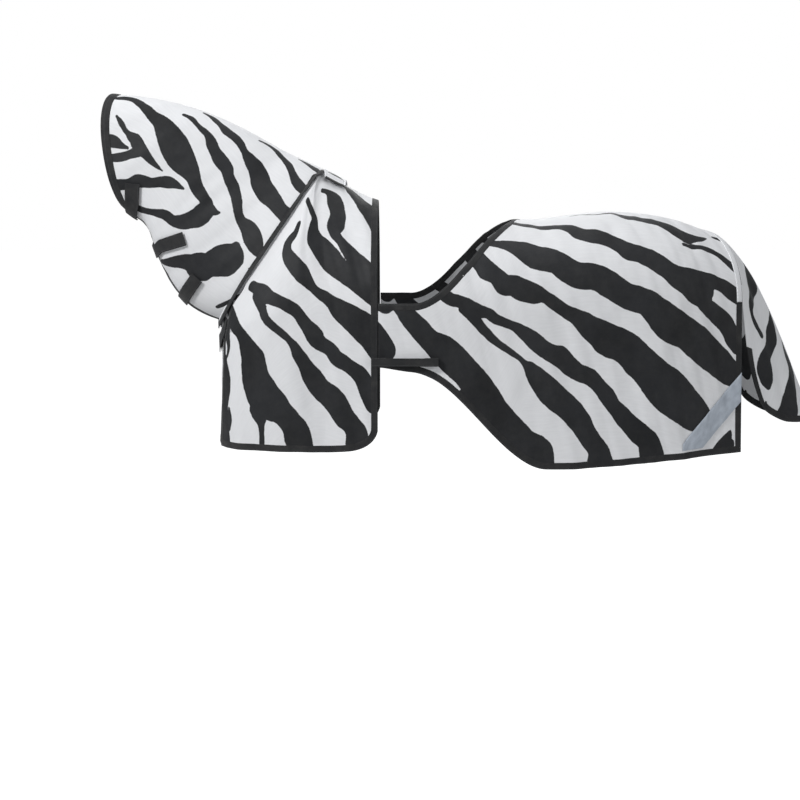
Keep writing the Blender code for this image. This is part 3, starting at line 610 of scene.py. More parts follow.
# ---- the print ---------------------------------------------------------------------------------
# Every dark stripe is a stroke along the cloth: (along, up, half width) in millimetres, in the
# print coordinates of its part of the sheet.
PRINT = {
    "neck": [
        [(-698, 265, 7), (-673, 267, 9), (-639, 260, 10), (-600, 234, 13), (-567, 203, 16),
         (-532, 175, 26), (-509, 137, 37), (-488, 100, 44), (-474, 74, 44), (-457, 48, 37),
         (-438, 23, 28), (-425, -3, 21), (-417, -29, 20), (-397, -57, 16), (-380, -72, 10),
         (-370, -83, 3)],
        [(-466, 211, 3), (-440, 197, 7), (-413, 167, 7), (-387, 142, 11), (-373, 114, 16), (-362, 87, 17),
         (-345, 60, 21), (-326, 34, 20), (-319, 8, 17), (-305, -23, 17), (-295, -54, 16), (-290, -85, 14),
         (-287, -106, 13), (-278, -131, 15), (-252, -157, 26), (-241, -183, 29), (-230, -208, 23),
         (-213, -233, 11), (-199, -247, 3)],
        [(-401, 234, 3), (-375, 214, 7), (-350, 187, 9), (-329, 161, 13), (-303, 141, 13),
         (-282, 117, 12), (-270, 91, 11), (-253, 64, 19), (-234, 37, 26), (-223, 10, 29), (-216, -17, 31),
         (-199, -44, 30), (-176, -71, 25), (-155, -97, 22), (-128, -123, 24), (-95, -147, 22)],
        [(-218, 144, 3), (-196, 138, 6), (-168, 119, 8), (-147, 90, 9), (-128, 56, 11), (-117, 22, 12),
         (-107, -5, 15), (-84, -31, 17), (-47, -49, 14)],
        [(-84, 95, 3), (-61, 78, 8), (-32, 55, 12), (15, 37, 15)],
        [(-677, 196, 3), (-661, 176, 6), (-647, 154, 6), (-631, 137, 9), (-610, 120, 17), (-598, 99, 19),
         (-584, 83, 15), (-570, 67, 12), (-553, 49, 8), (-538, 35, 5), (-525, 26, 2)],
        [(-701, 63, 12), (-659, 67, 12), (-627, 75, 13), (-595, 87, 18)],
        [(-706, 119, 19), (-680, 116, 18), (-663, 107, 11), (-645, 99, 5), (-633, 95, 2)],
        [(-690, -21, 17), (-637, -15, 15), (-606, -5, 19), (-585, -8, 18), (-561, -12, 14),
         (-534, -9, 15), (-508, -10, 17), (-489, -15, 13), (-471, -25, 6), (-458, -30, 2)],
        [(-615, -95, 11), (-574, -102, 9), (-544, -106, 12), (-519, -112, 15), (-494, -129, 16),
         (-467, -133, 22), (-440, -127, 25), (-414, -117, 29), (-397, -103, 29), (-382, -93, 20),
         (-361, -102, 10), (-347, -104, 3)],
        [(-545, -269, 7), (-509, -264, 16), (-468, -258, 23), (-435, -265, 31), (-413, -273, 45),
         (-385, -266, 37), (-357, -257, 44), (-333, -251, 49), (-317, -244, 45)],
        [(-294, -208, 14), (-287, -231, 16), (-286, -254, 15)],
        [(-252, -273, 2), (-242, -293, 8), (-244, -315, 6)],
        [(-369, -406, 5), (-330, -388, 7), (-289, -374, 8), (-267, -345, 7), (-261, -322, 4)],
    ],
    "body": [
        [(-5, 101, 3), (17, 98, 7), (32, 87, 3)],
        [(41, 79, 4), (63, 48, 15), (91, 2, 22), (121, -50, 31), (153, -113, 31), (166, -193, 26)],
        [(-30, 2, 6), (-3, 2, 12), (14, -12, 20), (20, -50, 24), (26, -85, 22), (20, -125, 25),
         (16, -152, 17), (34, -180, 14), (75, -235, 24), (120, -290, 31), (170, -340, 24)],
        [(-156, -38, 9), (-103, -74, 12), (-66, -105, 16), (-68, -134, 26), (-66, -162, 33),
         (-42, -189, 33), (-12, -222, 36), (12, -252, 34), (45, -282, 30), (85, -312, 28),
         (125, -350, 24), (170, -385, 20)],
        [(-170, -123, 12), (-176, -151, 15), (-200, -176, 18), (-189, -215, 19), (-147, -250, 25),
         (-100, -283, 27), (-73, -309, 19), (-48, -336, 13), (-21, -353, 16), (8, -374, 20),
         (36, -399, 30), (67, -420, 37), (97, -442, 42), (127, -470, 43), (158, -515, 41)],
        [(-299, -319, 15), (-246, -335, 20), (-205, -356, 19), (-157, -373, 16), (-116, -392, 18),
         (-93, -413, 17), (-74, -441, 19), (-52, -467, 26), (-38, -492, 22), (-1, -516, 20),
         (20, -542, 22), (60, -567, 21), (91, -592, 24), (107, -617, 25), (119, -648, 26),
         (133, -682, 26)],
        [(-263, -346, 18), (-241, -369, 16), (-222, -391, 13), (-204, -417, 11), (-185, -437, 12),
         (-159, -459, 11), (-132, -482, 9), (-109, -508, 13), (-94, -538, 19), (-74, -568, 21),
         (-53, -604, 30), (-32, -635, 31), (-2, -660, 35), (21, -685, 34), (41, -721, 32), (66, -746, 29),
         (81, -771, 32), (81, -807, 34)],
        [(-396, -388, 20), (-359, -423, 23), (-321, -447, 19), (-286, -471, 18), (-265, -506, 26),
         (-245, -541, 38), (-239, -571, 42), (-232, -607, 46), (-219, -638, 52), (-202, -668, 55),
         (-178, -688, 49), (-154, -705, 38), (-129, -730, 34), (-107, -761, 38), (-100, -789, 40),
         (-92, -820, 37)],
        [(-223, -705, 31), (-217, -731, 19), (-215, -754, 10), (-214, -782, 8), (-214, -827, 7)],
        [(-417, -443, 15), (-366, -466, 15), (-344, -495, 13), (-340, -521, 9), (-350, -547, 3)],
        [(-335, -708, 4), (-333, -739, 12), (-339, -768, 10)],
        [(200, -340, 22), (215, -380, 24), (239, -414, 26), (269, -446, 31), (304, -484, 32),
         (344, -514, 43), (375, -544, 46), (415, -584, 43), (448, -623, 44), (478, -661, 40),
         (514, -711, 39), (553, -753, 38), (591, -795, 40), (630, -825, 47), (640, -861, 43)],
        [(416, -661, 31), (456, -712, 31), (507, -768, 31), (569, -820, 31), (610, -851, 31)],
        [(280, -305, 16), (315, -330, 17), (345, -348, 18), (369, -363, 18), (394, -368, 18),
         (424, -383, 19), (454, -397, 18), (479, -403, 15), (504, -421, 14), (550, -439, 12),
         (580, -456, 18), (615, -483, 24), (646, -510, 24), (677, -527, 27), (707, -545, 28),
         (738, -576, 24), (769, -588, 25)],
        [(404, -391, 13), (439, -421, 15), (460, -448, 13), (486, -474, 12), (514, -497, 10),
         (545, -519, 9), (572, -537, 6), (592, -557, 10), (606, -567, 17), (627, -595, 28),
         (653, -625, 36), (676, -651, 39), (720, -687, 36), (748, -718, 36), (766, -743, 32),
         (786, -779, 29), (817, -821, 31), (826, -868, 41)],
        [(330, -175, 12), (360, -185, 14), (389, -191, 15), (408, -195, 17), (428, -205, 24),
         (451, -237, 26), (466, -255, 26), (480, -274, 30), (505, -291, 26), (529, -317, 31),
         (554, -319, 31), (584, -333, 34), (614, -344, 30), (634, -347, 21), (647, -350, 15),
         (675, -372, 19), (705, -393, 19), (736, -410, 21), (766, -428, 30)],
        [(766, -428, 30), (787, -446, 34), (817, -465, 41), (848, -488, 48), (879, -499, 48),
         (910, -518, 49), (941, -551, 50), (982, -591, 53), (1024, -633, 64), (1072, -678, 60),
         (1118, -716, 50), (1144, -743, 31)],
        [(478, -169, 9), (503, -172, 13), (533, -177, 20), (568, -188, 29), (598, -203, 37),
         (627, -224, 42), (657, -232, 42), (687, -243, 36), (716, -269, 38), (746, -286, 40),
         (776, -291, 41)],
        [(776, -290, 41), (806, -294, 40), (836, -311, 40), (866, -331, 38), (896, -350, 37),
         (927, -362, 39), (958, -372, 39), (987, -396, 43), (1021, -428, 50), (1053, -450, 52),
         (1090, -469, 47), (1124, -498, 49), (1158, -527, 48), (1193, -555, 46), (1226, -585, 40),
         (1262, -606, 37), (1285, -617, 36)],
        [(565, -30, 10), (600, -55, 11), (640, -75, 12), (677, -87, 12), (708, -88, 15), (738, -101, 20),
         (770, -136, 26), (805, -149, 29), (835, -160, 26), (864, -176, 23), (888, -196, 24),
         (912, -214, 29), (942, -222, 28), (972, -236, 29), (1002, -257, 28), (1032, -279, 27),
         (1064, -299, 36), (1096, -313, 43), (1127, -333, 49), (1141, -361, 27), (1145, -377, 24),
         (1176, -405, 26), (1209, -429, 27), (1233, -461, 26), (1246, -497, 21), (1261, -518, 18)],
        [(1131, -305, 28), (1167, -307, 21), (1196, -319, 20), (1216, -328, 20), (1242, -346, 22),
         (1267, -364, 19), (1289, -390, 15)],
        [(751, 17, 3), (783, 15, 4), (835, 8, 5), (888, -4, 9), (926, -38, 16), (961, -53, 17),
         (997, -71, 17), (1029, -85, 19), (1060, -108, 22), (1090, -139, 25), (1118, -155, 21),
         (1152, -159, 13), (1193, -153, 4)],
        [(1090, -184, 6), (1126, -193, 7), (1158, -197, 8), (1189, -207, 9), (1217, -224, 9),
         (1242, -247, 10), (1261, -269, 10), (1280, -293, 9)],
        [(1235, -138, 4), (1259, -155, 7), (1275, -176, 8), (1286, -206, 8), (1291, -239, 7),
         (1292, -263, 5)],
        [(697, -530, 27), (728, -563, 26), (759, -586, 25), (789, -597, 24), (818, -626, 21),
         (844, -657, 24), (861, -683, 22), (889, -714, 26), (915, -745, 28), (944, -771, 32),
         (972, -797, 33), (983, -829, 36), (989, -870, 40)],
        [(1163, -871, 12), (1200, -842, 21), (1220, -817, 21), (1235, -789, 10), (1241, -774, 3)],
        [(1227, -865, 20), (1245, -834, 7), (1248, -808, 5)],
        [(-400, -500, 14), (-360, -620, 30), (-370, -720, 24), (-360, -820, 30)],
        [(-500, -450, 12), (-470, -600, 28), (-480, -700, 22), (-450, -840, 28)],
        [(-580, -520, 10), (-550, -660, 24), (-560, -800, 28)],
    ],
    "tail": [
        [(1540, -240, 10), (1600, -400, 26), (1620, -550, 30), (1590, -700, 22), (1600, -820, 28)],
        [(1670, -300, 12), (1690, -450, 24), (1670, -600, 18), (1690, -780, 26)],
        [(1526, -204, 6), (1508, -234, 17), (1489, -259, 23), (1467, -285, 25), (1435, -309, 21),
         (1401, -333, 17), (1372, -358, 11), (1363, -385, 8), (1369, -415, 9), (1389, -454, 11)],
        [(1497, -383, 4), (1474, -420, 12), (1454, -448, 19), (1440, -476, 22), (1413, -503, 20),
         (1380, -530, 24), (1367, -566, 34), (1367, -599, 26), (1370, -631, 9)],
        [(1508, -490, 4), (1495, -523, 14), (1500, -563, 21), (1493, -596, 21), (1475, -628, 21),
         (1459, -660, 24), (1447, -693, 29), (1436, -728, 35), (1400, -747, 14)],
    ],
}


def stroke_curve(stroke, per=4):
    """The stroke's points with smooth ones between them."""
    rows = np.array(stroke) / 1000
    ts = np.linspace(0, len(rows) - 1, (len(rows) - 1) * per + 1)
    curve = np.array([spline(rows, t) for t in ts])
    curve[:, 2] = np.maximum(curve[:, 2], 0.0015)
    return curve


def print_ink(coords, part):
    """How deep each point lies inside the dark stripes, in metres: above 0 is dark."""
    best = np.full(len(coords), -0.05)
    for stroke in PRINT[part]:
        curve = stroke_curve(stroke)
        reach = curve[:, 2].max() + 0.05
        near = np.flatnonzero(((coords > curve[:, :2].min(0) - reach)
                               & (coords < curve[:, :2].max(0) + reach)).all(1))
        if not len(near):
            continue
        p = coords[near]
        depth = np.full(len(near), -0.05)
        for a, b in zip(curve, curve[1:]):
            d = b[:2] - a[:2]
            t = np.clip(((p - a[:2]) @ d) / max(d @ d, 1e-12), 0, 1)
            away = np.linalg.norm(p - a[:2] - t[:, None] * d, axis=1)
            depth = np.maximum(depth, a[2] + (b[2] - a[2]) * t - away)
        best[near] = np.maximum(best[near], depth)
    return best


# ---- materials ---------------------------------------------------------------------------------
class Nodes:
    """Short words for building a node tree."""

    def __init__(self, tree):
        self.tree = tree

    def add(self, kind, **values):
        node = self.tree.nodes.new(kind)
        for name, value in values.items():
            if hasattr(node, name):
                setattr(node, name, value)
            else:
                node.inputs[name.replace("_", " ")].default_value = value
        return node

    def link(self, source, target):
        self.tree.links.new(source, target)
        return self

    def maths(self, operation, a, b=None, clamp=False):
        node = self.tree.nodes.new("ShaderNodeMath")
        node.operation, node.use_clamp = operation, clamp
        for socket, value in zip(node.inputs, (a, b)):
            if value is None:
                continue
            if isinstance(value, (int, float)):
                socket.default_value = value
            else:
                self.link(value, socket)
        return node.outputs[0]

    def ramp(self, source, stops):
        node = self.tree.nodes.new("ShaderNodeValToRGB")
        while len(node.color_ramp.elements) < len(stops):
            node.color_ramp.elements.new(0.5)
        for element, (place, colour) in zip(node.color_ramp.elements, stops):
            element.position = place
            element.color = (*colour, 1) if len(colour) == 3 else colour
        self.link(source, node.inputs[0])
        return node.outputs["Color"]


def new_group(name, inputs, outputs):
    group = bpy.data.node_groups.new(name, "ShaderNodeTree")
    for label, kind, value in inputs:
        socket = group.interface.new_socket(name=label, in_out="INPUT", socket_type=kind)
        if value is not None:
            socket.default_value = value
    for label, kind in outputs:
        group.interface.new_socket(name=label, in_out="OUTPUT", socket_type=kind)
    nodes = Nodes(group)
    return group, nodes, nodes.add("NodeGroupInput"), nodes.add("NodeGroupOutput")


def weave_group():
    """Plain weave from two crossed sets of threads, over the piece's own UV map in metres."""
    group, n, given, out = new_group("plain_weave", [
        ("Thread", "NodeSocketFloat", 0.0011), ("Strength", "NodeSocketFloat", 0.3),
        ("Slub", "NodeSocketFloat", 0.5)],
        [("Shade", "NodeSocketFloat"), ("Normal", "NodeSocketVector")])
    uv = n.add("ShaderNodeUVMap", uv_map="cloth")
    split = n.add("ShaderNodeSeparateXYZ")
    n.link(uv.outputs[0], split.inputs[0])
    turns = n.maths("DIVIDE", math.pi, given.outputs["Thread"])
    wave_x = n.maths("SINE", n.maths("MULTIPLY", split.outputs[0], turns))
    wave_y = n.maths("SINE", n.maths("MULTIPLY", split.outputs[1], turns))
    product = n.maths("MULTIPLY", wave_x, wave_y)
    slub = n.add("ShaderNodeTexNoise", noise_dimensions="2D", Scale=160.0, Detail=2.0)
    stretch = n.add("ShaderNodeMapping")
    stretch.inputs["Scale"].default_value = (0.12, 1.0, 1.0)
    n.link(uv.outputs[0], stretch.inputs["Vector"])
    n.link(stretch.outputs[0], slub.inputs["Vector"])
    uneven = n.maths("MULTIPLY", slub.outputs["Fac"], given.outputs["Slub"])
    height = n.maths("ADD", n.maths("MULTIPLY", product, 0.5), uneven)
    bump = n.add("ShaderNodeBump", Distance=0.0006)
    n.link(height, bump.inputs["Height"]).link(given.outputs["Strength"], bump.inputs["Strength"])
    n.link(slub.outputs["Fac"], out.inputs["Shade"])
    n.link(bump.outputs[0], out.inputs["Normal"])
    return group


def soil_group():
    """Slow change of tone over the cloth, and a little dust in random patches."""
    group, n, given, out = new_group("tone", [
        ("Colour", "NodeSocketColor", (0.8, 0.8, 0.8, 1)), ("Dust", "NodeSocketFloat", 0.1)],
        [("Colour", "NodeSocketColor")])
    place = n.add("ShaderNodeTexCoord")
    broad = n.add("ShaderNodeTexNoise", Scale=4.0, Detail=3.0, Roughness=0.6)
    fine = n.add("ShaderNodeTexNoise", Scale=38.0, Detail=4.0, Roughness=0.65)
    n.link(place.outputs["Object"], broad.inputs["Vector"])
    n.link(place.outputs["Object"], fine.inputs["Vector"])
    both = n.maths("MULTIPLY", broad.outputs["Fac"], fine.outputs["Fac"])
    mask = n.maths("MULTIPLY", n.maths("SUBTRACT", both, 0.16, clamp=True), given.outputs["Dust"])
    mix = n.add("ShaderNodeMix", data_type="RGBA")
    mix.inputs[7].default_value = (0.36, 0.34, 0.31, 1)
    n.link(mask, mix.inputs[0]).link(given.outputs["Colour"], mix.inputs[6])
    n.link(mix.outputs[2], out.inputs["Colour"])
    return group


WEAVE = weave_group()
TONE = soil_group()


def use_group(nodes, group, **values):
    node = nodes.tree.nodes.new("ShaderNodeGroup")
    node.node_tree = group
    for name, value in values.items():
        node.inputs[name.replace("_", " ")].default_value = value
    return node


def new_material(name, rough, sheen=0.0, metallic=0.0, specular=0.3):
    material = bpy.data.materials.new(name)
    material.use_nodes = True
    nodes = Nodes(material.node_tree)
    shader = material.node_tree.nodes["Principled BSDF"]
    shader.inputs["Roughness"].default_value = rough
    shader.inputs["Metallic"].default_value = metallic
    shader.inputs["Sheen Weight"].default_value = sheen
    shader.inputs["Sheen Roughness"].default_value = 0.45
    shader.inputs["Specular IOR Level"].default_value = specular
    return material, nodes, shader


def cloth_material():
    """White mesh cloth with the dark stripes printed on it."""
    material, n, shader = new_material("zebra_mesh", 0.62, sheen=0.04, specular=0.22)
    ink = n.add("ShaderNodeAttribute", attribute_name="ink")
    place = n.add("ShaderNodeTexCoord")
    wobble = n.add("ShaderNodeTexNoise", Scale=26.0, Detail=2.0)
    grain = n.add("ShaderNodeTexNoise", Scale=420.0, Detail=1.0)
    n.link(place.outputs["Object"], wobble.inputs["Vector"])
    n.link(place.outputs["Object"], grain.inputs["Vector"])
    edge = n.maths("ADD", ink.outputs["Fac"],
                   n.maths("MULTIPLY", n.maths("SUBTRACT", wobble.outputs["Fac"], 0.30), 0.0075))
    edge = n.maths("ADD", edge, n.maths("MULTIPLY", n.maths("SUBTRACT", grain.outputs["Fac"], 0.5), 0.0016))
    mask = n.add("ShaderNodeMapRange")
    mask.inputs["From Min"].default_value, mask.inputs["From Max"].default_value = -0.0007, 0.0007
    n.link(edge, mask.inputs["Value"])
    weave = use_group(n, WEAVE, Thread=0.0014, Strength=0.20, Slub=0.10)
    fade = n.add("ShaderNodeTexNoise", Scale=7.0, Detail=3.0)
    n.link(place.outputs["Object"], fade.inputs["Vector"])
    white = n.ramp(weave.outputs["Shade"], [(0.25, (0.735, 0.742, 0.76)), (0.80, (0.775, 0.782, 0.80))])
    dark = n.ramp(fade.outputs["Fac"], [(0.30, (0.0115, 0.0122, 0.0138)), (0.70, (0.022, 0.0232, 0.0262))])
    mix = n.add("ShaderNodeMix", data_type="RGBA")
    n.link(mask.outputs[0], mix.inputs[0]).link(white, mix.inputs[6]).link(dark, mix.inputs[7])
    tone = use_group(n, TONE, Dust=0.10)
    n.link(mix.outputs[2], tone.inputs["Colour"]).link(tone.outputs["Colour"], shader.inputs["Base Color"])
    rough = n.maths("ADD", n.maths("MULTIPLY", weave.outputs["Shade"], 0.16), 0.50)
    n.link(rough, shader.inputs["Roughness"]).link(weave.outputs["Normal"], shader.inputs["Normal"])
    return material


STITCH_W = 0.0006            # half the width of a stitch
STITCH_PITCH = 0.0042        # from one stitch to the next
STITCH_SHARE = 0.68          # the share of the pitch that shows thread
STITCH_LIGHTER = 2.6


def tape_material(name, low, high, rough, rib, stitches, strength=0.5):
    """Woven tape or webbing: ribs across it, an uneven tone and a row of stitches along it."""
    material, n, shader = new_material(name, rough, sheen=0.10)
    uv = n.add("ShaderNodeUVMap", uv_map="cloth")
    split = n.add("ShaderNodeSeparateXYZ")
    n.link(uv.outputs[0], split.inputs[0])
    ribs = n.maths("SINE", n.maths("MULTIPLY", split.outputs[0], 2 * math.pi / rib))
    cross = n.maths("SINE", n.maths("MULTIPLY", split.outputs[1], 2 * math.pi / (rib * 1.3)))
    fibre = n.add("ShaderNodeTexNoise", noise_dimensions="2D", Scale=900.0, Detail=3.0)
    n.link(uv.outputs[0], fibre.inputs["Vector"])
    height = n.maths("ADD", n.maths("MULTIPLY", n.maths("ADD", ribs, n.maths("MULTIPLY", cross, 0.5)), 0.3),
                     fibre.outputs["Fac"])
    colour = n.ramp(fibre.outputs["Fac"], [(0.30, low), (0.72, high)])
    from_edge = n.maths("ABSOLUTE", n.maths("SUBTRACT", split.outputs[1], stitches))
    line = n.maths("LESS_THAN", from_edge, STITCH_W)
    along = n.maths("FRACT", n.maths("MULTIPLY", split.outputs[0], 1 / STITCH_PITCH))
    stitch = n.maths("MULTIPLY", line, n.maths("LESS_THAN", along, STITCH_SHARE))
    mix = n.add("ShaderNodeMix", data_type="RGBA")
    mix.inputs[7].default_value = (*(c * STITCH_LIGHTER for c in high), 1)
    n.link(stitch, mix.inputs[0]).link(colour, mix.inputs[6])
    height = n.maths("ADD", height, n.maths("MULTIPLY", stitch, 1.5))
    tone = use_group(n, TONE, Dust=0.22)
    n.link(mix.outputs[2], tone.inputs["Colour"])
    n.link(tone.outputs["Colour"], shader.inputs["Base Color"])
    bump = n.add("ShaderNodeBump", Strength=strength, Distance=0.0005)
    n.link(height, bump.inputs["Height"]).link(bump.outputs[0], shader.inputs["Normal"])
    n.link(n.maths("ADD", n.maths("MULTIPLY", fibre.outputs["Fac"], 0.25), rough - 0.12),
           shader.inputs["Roughness"])
    return material


def pile_material(name, low, high):
    """The looped or hooked face of a closing tab."""
    material, n, shader = new_material(name, 0.9, sheen=0.25)
    place = n.add("ShaderNodeTexCoord")
    loops = n.add("ShaderNodeTexVoronoi", Scale=950.0)
    patches = n.add("ShaderNodeTexNoise", Scale=60.0, Detail=3.0)
    n.link(place.outputs["Object"], loops.inputs["Vector"])
    n.link(place.outputs["Object"], patches.inputs["Vector"])
    colour = n.ramp(patches.outputs["Fac"], [(0.32, low), (0.70, high)])
    tone = use_group(n, TONE, Dust=0.30)
    n.link(colour, tone.inputs["Colour"]).link(tone.outputs["Colour"], shader.inputs["Base Color"])
    bump = n.add("ShaderNodeBump", Strength=0.6, Distance=0.0006)
    n.link(loops.outputs["Distance"], bump.inputs["Height"]).link(bump.outputs[0], shader.inputs["Normal"])
    n.link(n.maths("ADD", n.maths("MULTIPLY", patches.outputs["Fac"], 0.15), 0.78), shader.inputs["Roughness"])
    return material


def reflective_material():
    """Silver reflective tape: a fine honeycomb of cells under a smooth face."""
    material, n, shader = new_material("reflective_tape", 0.38, metallic=0.25, specular=0.5)
    uv = n.add("ShaderNodeUVMap", uv_map="cloth")
    cells = n.add("ShaderNodeTexVoronoi", voronoi_dimensions="2D", Scale=420.0)
    wear = n.add("ShaderNodeTexNoise", noise_dimensions="2D", Scale=45.0, Detail=4.0)
    n.link(uv.outputs[0], cells.inputs["Vector"]).link(uv.outputs[0], wear.inputs["Vector"])
    colour = n.ramp(wear.outputs["Fac"], [(0.28, (0.40, 0.445, 0.51)), (0.72, (0.50, 0.55, 0.62))])
    n.link(colour, shader.inputs["Base Color"])
    bump = n.add("ShaderNodeBump", Strength=0.12, Distance=0.0003)
    n.link(cells.outputs["Distance"], bump.inputs["Height"]).link(bump.outputs[0], shader.inputs["Normal"])
    n.link(n.maths("ADD", n.maths("MULTIPLY", wear.outputs["Fac"], 0.20), 0.28), shader.inputs["Roughness"])
    return material


ZEBRA = cloth_material()
EDGE = tape_material("edge_tape", (0.009, 0.0095, 0.0105), (0.019, 0.020, 0.022), 0.72, 0.0016,
                     stitches=BINDING_W * 0.84)
THREADED = tape_material("sewn_tape", (0.66, 0.67, 0.69), (0.78, 0.79, 0.81), 0.75, 0.0016, stitches=0.0035)
WEBBING = tape_material("webbing", (0.010, 0.0105, 0.0115), (0.024, 0.025, 0.027), 0.66, 0.0026,
                        stitches=0.003, strength=0.9)
HOOKS = pile_material("hook_and_loop", (0.010, 0.0105, 0.012), (0.022, 0.023, 0.026))
TAB_CLOTH = tape_material("tab_cloth", (0.010, 0.0105, 0.012), (0.022, 0.023, 0.0255), 0.80, 0.0020,
                          stitches=0.0045, strength=0.4)
SILVER = reflective_material()


def ride_all(body, *pieces):
    for piece in pieces:
        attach(piece, body)


def make_front_left():
    panel = Panel("front_panel_left", front_left, 110, 112, ZEBRA, "body")
    edge = edging("front_edging_left", panel, [(0, 0), (0, 1), (1, 1), (1, 0)], BINDING_W, EDGE)
    for piece in (panel.piece, edge):
        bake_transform(piece)
    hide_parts("shoulder_panel_left", "chest_flap")
    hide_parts("front_binding_left", "chest_flap_binding")


def make_front_right():
    panel = Panel("front_panel_right", front_right, 132, 112, ZEBRA, "body", flip=True)
    edge = edging("front_edging_right", panel, [(0, 0), (0, 1), (1, 1), (1, 0)], BINDING_W, EDGE)
    ride_all("sheet_body", panel.piece, edge)
    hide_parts("shoulder_panel_right")
    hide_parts("front_binding_right")


def quarter_b(z):
    """The share of the way down the quarter's rear edge where it is at height z."""
    top, bottom = QUARTER_TOP[-1], QUARTER_BOTTOM[-1]
    return (length_at_z(LAST, z) - top) / (bottom - top)


def make_quarter(side, flip):
    panel = Panel("quarter_cloth_" + side, quarter, 160, 128, ZEBRA, "body", flip=flip)
    seam_b = quarter_b(SEAM_BAND_Z)
    edge = edging("quarter_edging_" + side, panel, [(0, 1), (1, 1), (1, seam_b)], BINDING_W, EDGE)
    band = edging("seam_band_" + side, panel, [(1, seam_b - 0.004), (1, 0)], BINDING_W * 0.9, THREADED)
    end_a = (OPENING_END_U - QUARTER_START) / (LAST - QUARTER_START)
    rim = edging("opening_edging_" + side, panel, [(0, 0), (end_a, 0)],
                 lambda t: BINDING_W * (0.25 + 0.75 * smooth((1 - t) / 0.12)), EDGE)
    ride_all("sheet_body", panel.piece, edge, band, rim)
    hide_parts("quarter_panel_" + side)
    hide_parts("quarter_binding_" + side)
    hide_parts("tail_seam_band_" + side)
    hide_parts("opening_binding_" + side)


def make_tail_cover():
    panel = Panel("tail_cover", tail_cover, 96, 96, ZEBRA, "tail")
    walk = [(0, TAIL_EDGING_FROM), (0, 1), (1, 1), (1, TAIL_EDGING_FROM)]
    edge = edging("tail_cover_edging", panel, walk, BINDING_W, EDGE)
    for piece in (panel.piece, edge):
        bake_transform(piece)
    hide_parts("tail_dome", "tail_flap")
    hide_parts("tail_flap_binding")


def neck_tape_width(t):
    """The face, the throat and the rim have each their own width of tape."""
    throat, rim = smooth((t - 0.31) / 0.04), smooth((t - 0.65) / 0.03)
    return (FACE_BINDING_W + (THROAT_BINDING_W - FACE_BINDING_W) * throat
            + (RIM_BINDING_W - THROAT_BINDING_W) * rim)


def make_neck(side, flip):
    panel = Panel("neck_cloth_" + side, neck_panel, 120, 120, ZEBRA, "neck", flip=flip)
    edge = edging("neck_edging_" + side, panel, [(0, 1), (0, 0), (1, 0), (1, 1)], neck_tape_width, EDGE)
    ride_all("neck_cover", panel.piece, edge)
    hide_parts("neck_panel_" + side)
    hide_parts("neck_binding_" + side)


def soften_edges(piece, width):
    soften = piece.modifiers.new("soft_edge", "BEVEL")
    soften.width, soften.segments, soften.limit_method = width, 2, "ANGLE"


def patch_from(name, node, body, fn, nx, ny, material, wall, flip=False):
    """A small sewn piece over a form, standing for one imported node."""
    points, _ = fn(*unit_grid(nx, ny))
    piece = set_grid(name, turned(points, flip), material, wall=wall)
    soften_edges(piece, wall * 0.35)
    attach(piece, body)
    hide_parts(node)


def neck_place(x, z):
    """The place (s, phi) on the neck's left side that is at (x, z) seen from the side."""
    flat = NECK.plain[:, 8:-8, [0, 2]]
    i, j = np.unravel_index(np.argmin(((flat - (x, z)) ** 2).sum(2)), flat.shape[:2])
    s, phi = NECK.us[i], NECK.vs[j + 8]

    def seen(s, phi):
        return NECK.read(NECK.plain, np.array(s), np.array(phi))[[0, 2]]
    step = 0.01
    for _ in range(8):
        here = seen(s, phi)
        after, before = min(s + step, 1), max(s - step, 0)
        way_s = (seen(after, phi) - seen(before, phi)) / (after - before)
        way_phi = (seen(s, phi + step) - seen(s, phi - step)) / (2 * step)
        move = np.linalg.lstsq(np.stack([way_s, way_phi], 1), np.array([x, z]) - here, rcond=1e-3)[0]
        s, phi = min(max(s + move[0], 0.0), 0.999), min(max(phi + move[1], 0.02), math.pi - 0.02)
    return s, phi


def throat_s(point):
    s = np.linspace(0, 1, 101)
    gaps = np.linalg.norm(NECK.read(NECK.plain, s, np.zeros(101))[:, [0, 2]] - point, axis=1)
    return s[int(np.argmin(gaps))]


# neck tabs, seen from the side: root centre, direction, length and width
NECK_TABS = {
    "jaw": ((-0.628, -0.103), (0.10, 1.0), 0.090, 0.046),
    "upper_throat": ((-0.563, -0.215), (1.0, 0.30), 0.112, 0.042),
    "lower_throat": ((-0.478, -0.378), (0.62, 0.78), 0.095, 0.042),
}
TAB_WRAP = 0.25


def neck_tab_points(key, start=0.0, end=1.0, trim=0.0, lift=TAB_LIFT):
    root, toward, length, width = NECK_TABS[key]
    axis = unit(np.array(toward, float))
    side_way, root = np.array([-axis[1], axis[0]]), np.array(root)

    def points(a, b):
        s_all, phi_all = np.empty(a.shape), np.empty(a.shape)
        for k in np.ndindex(a.shape):
            t = start + (end - start) * a[k]
            edge = root + side_way * (width - trim) * (b[k] - 0.5)
            s, phi = neck_place(*(edge + axis * length * max(t, TAB_WRAP)))
            turn = min(t / TAB_WRAP, 1)
            s_all[k], phi_all[k] = throat_s(edge) * (1 - turn) + s * turn, phi * turn
        return neck_at(s_all, phi_all, lift)
    return points


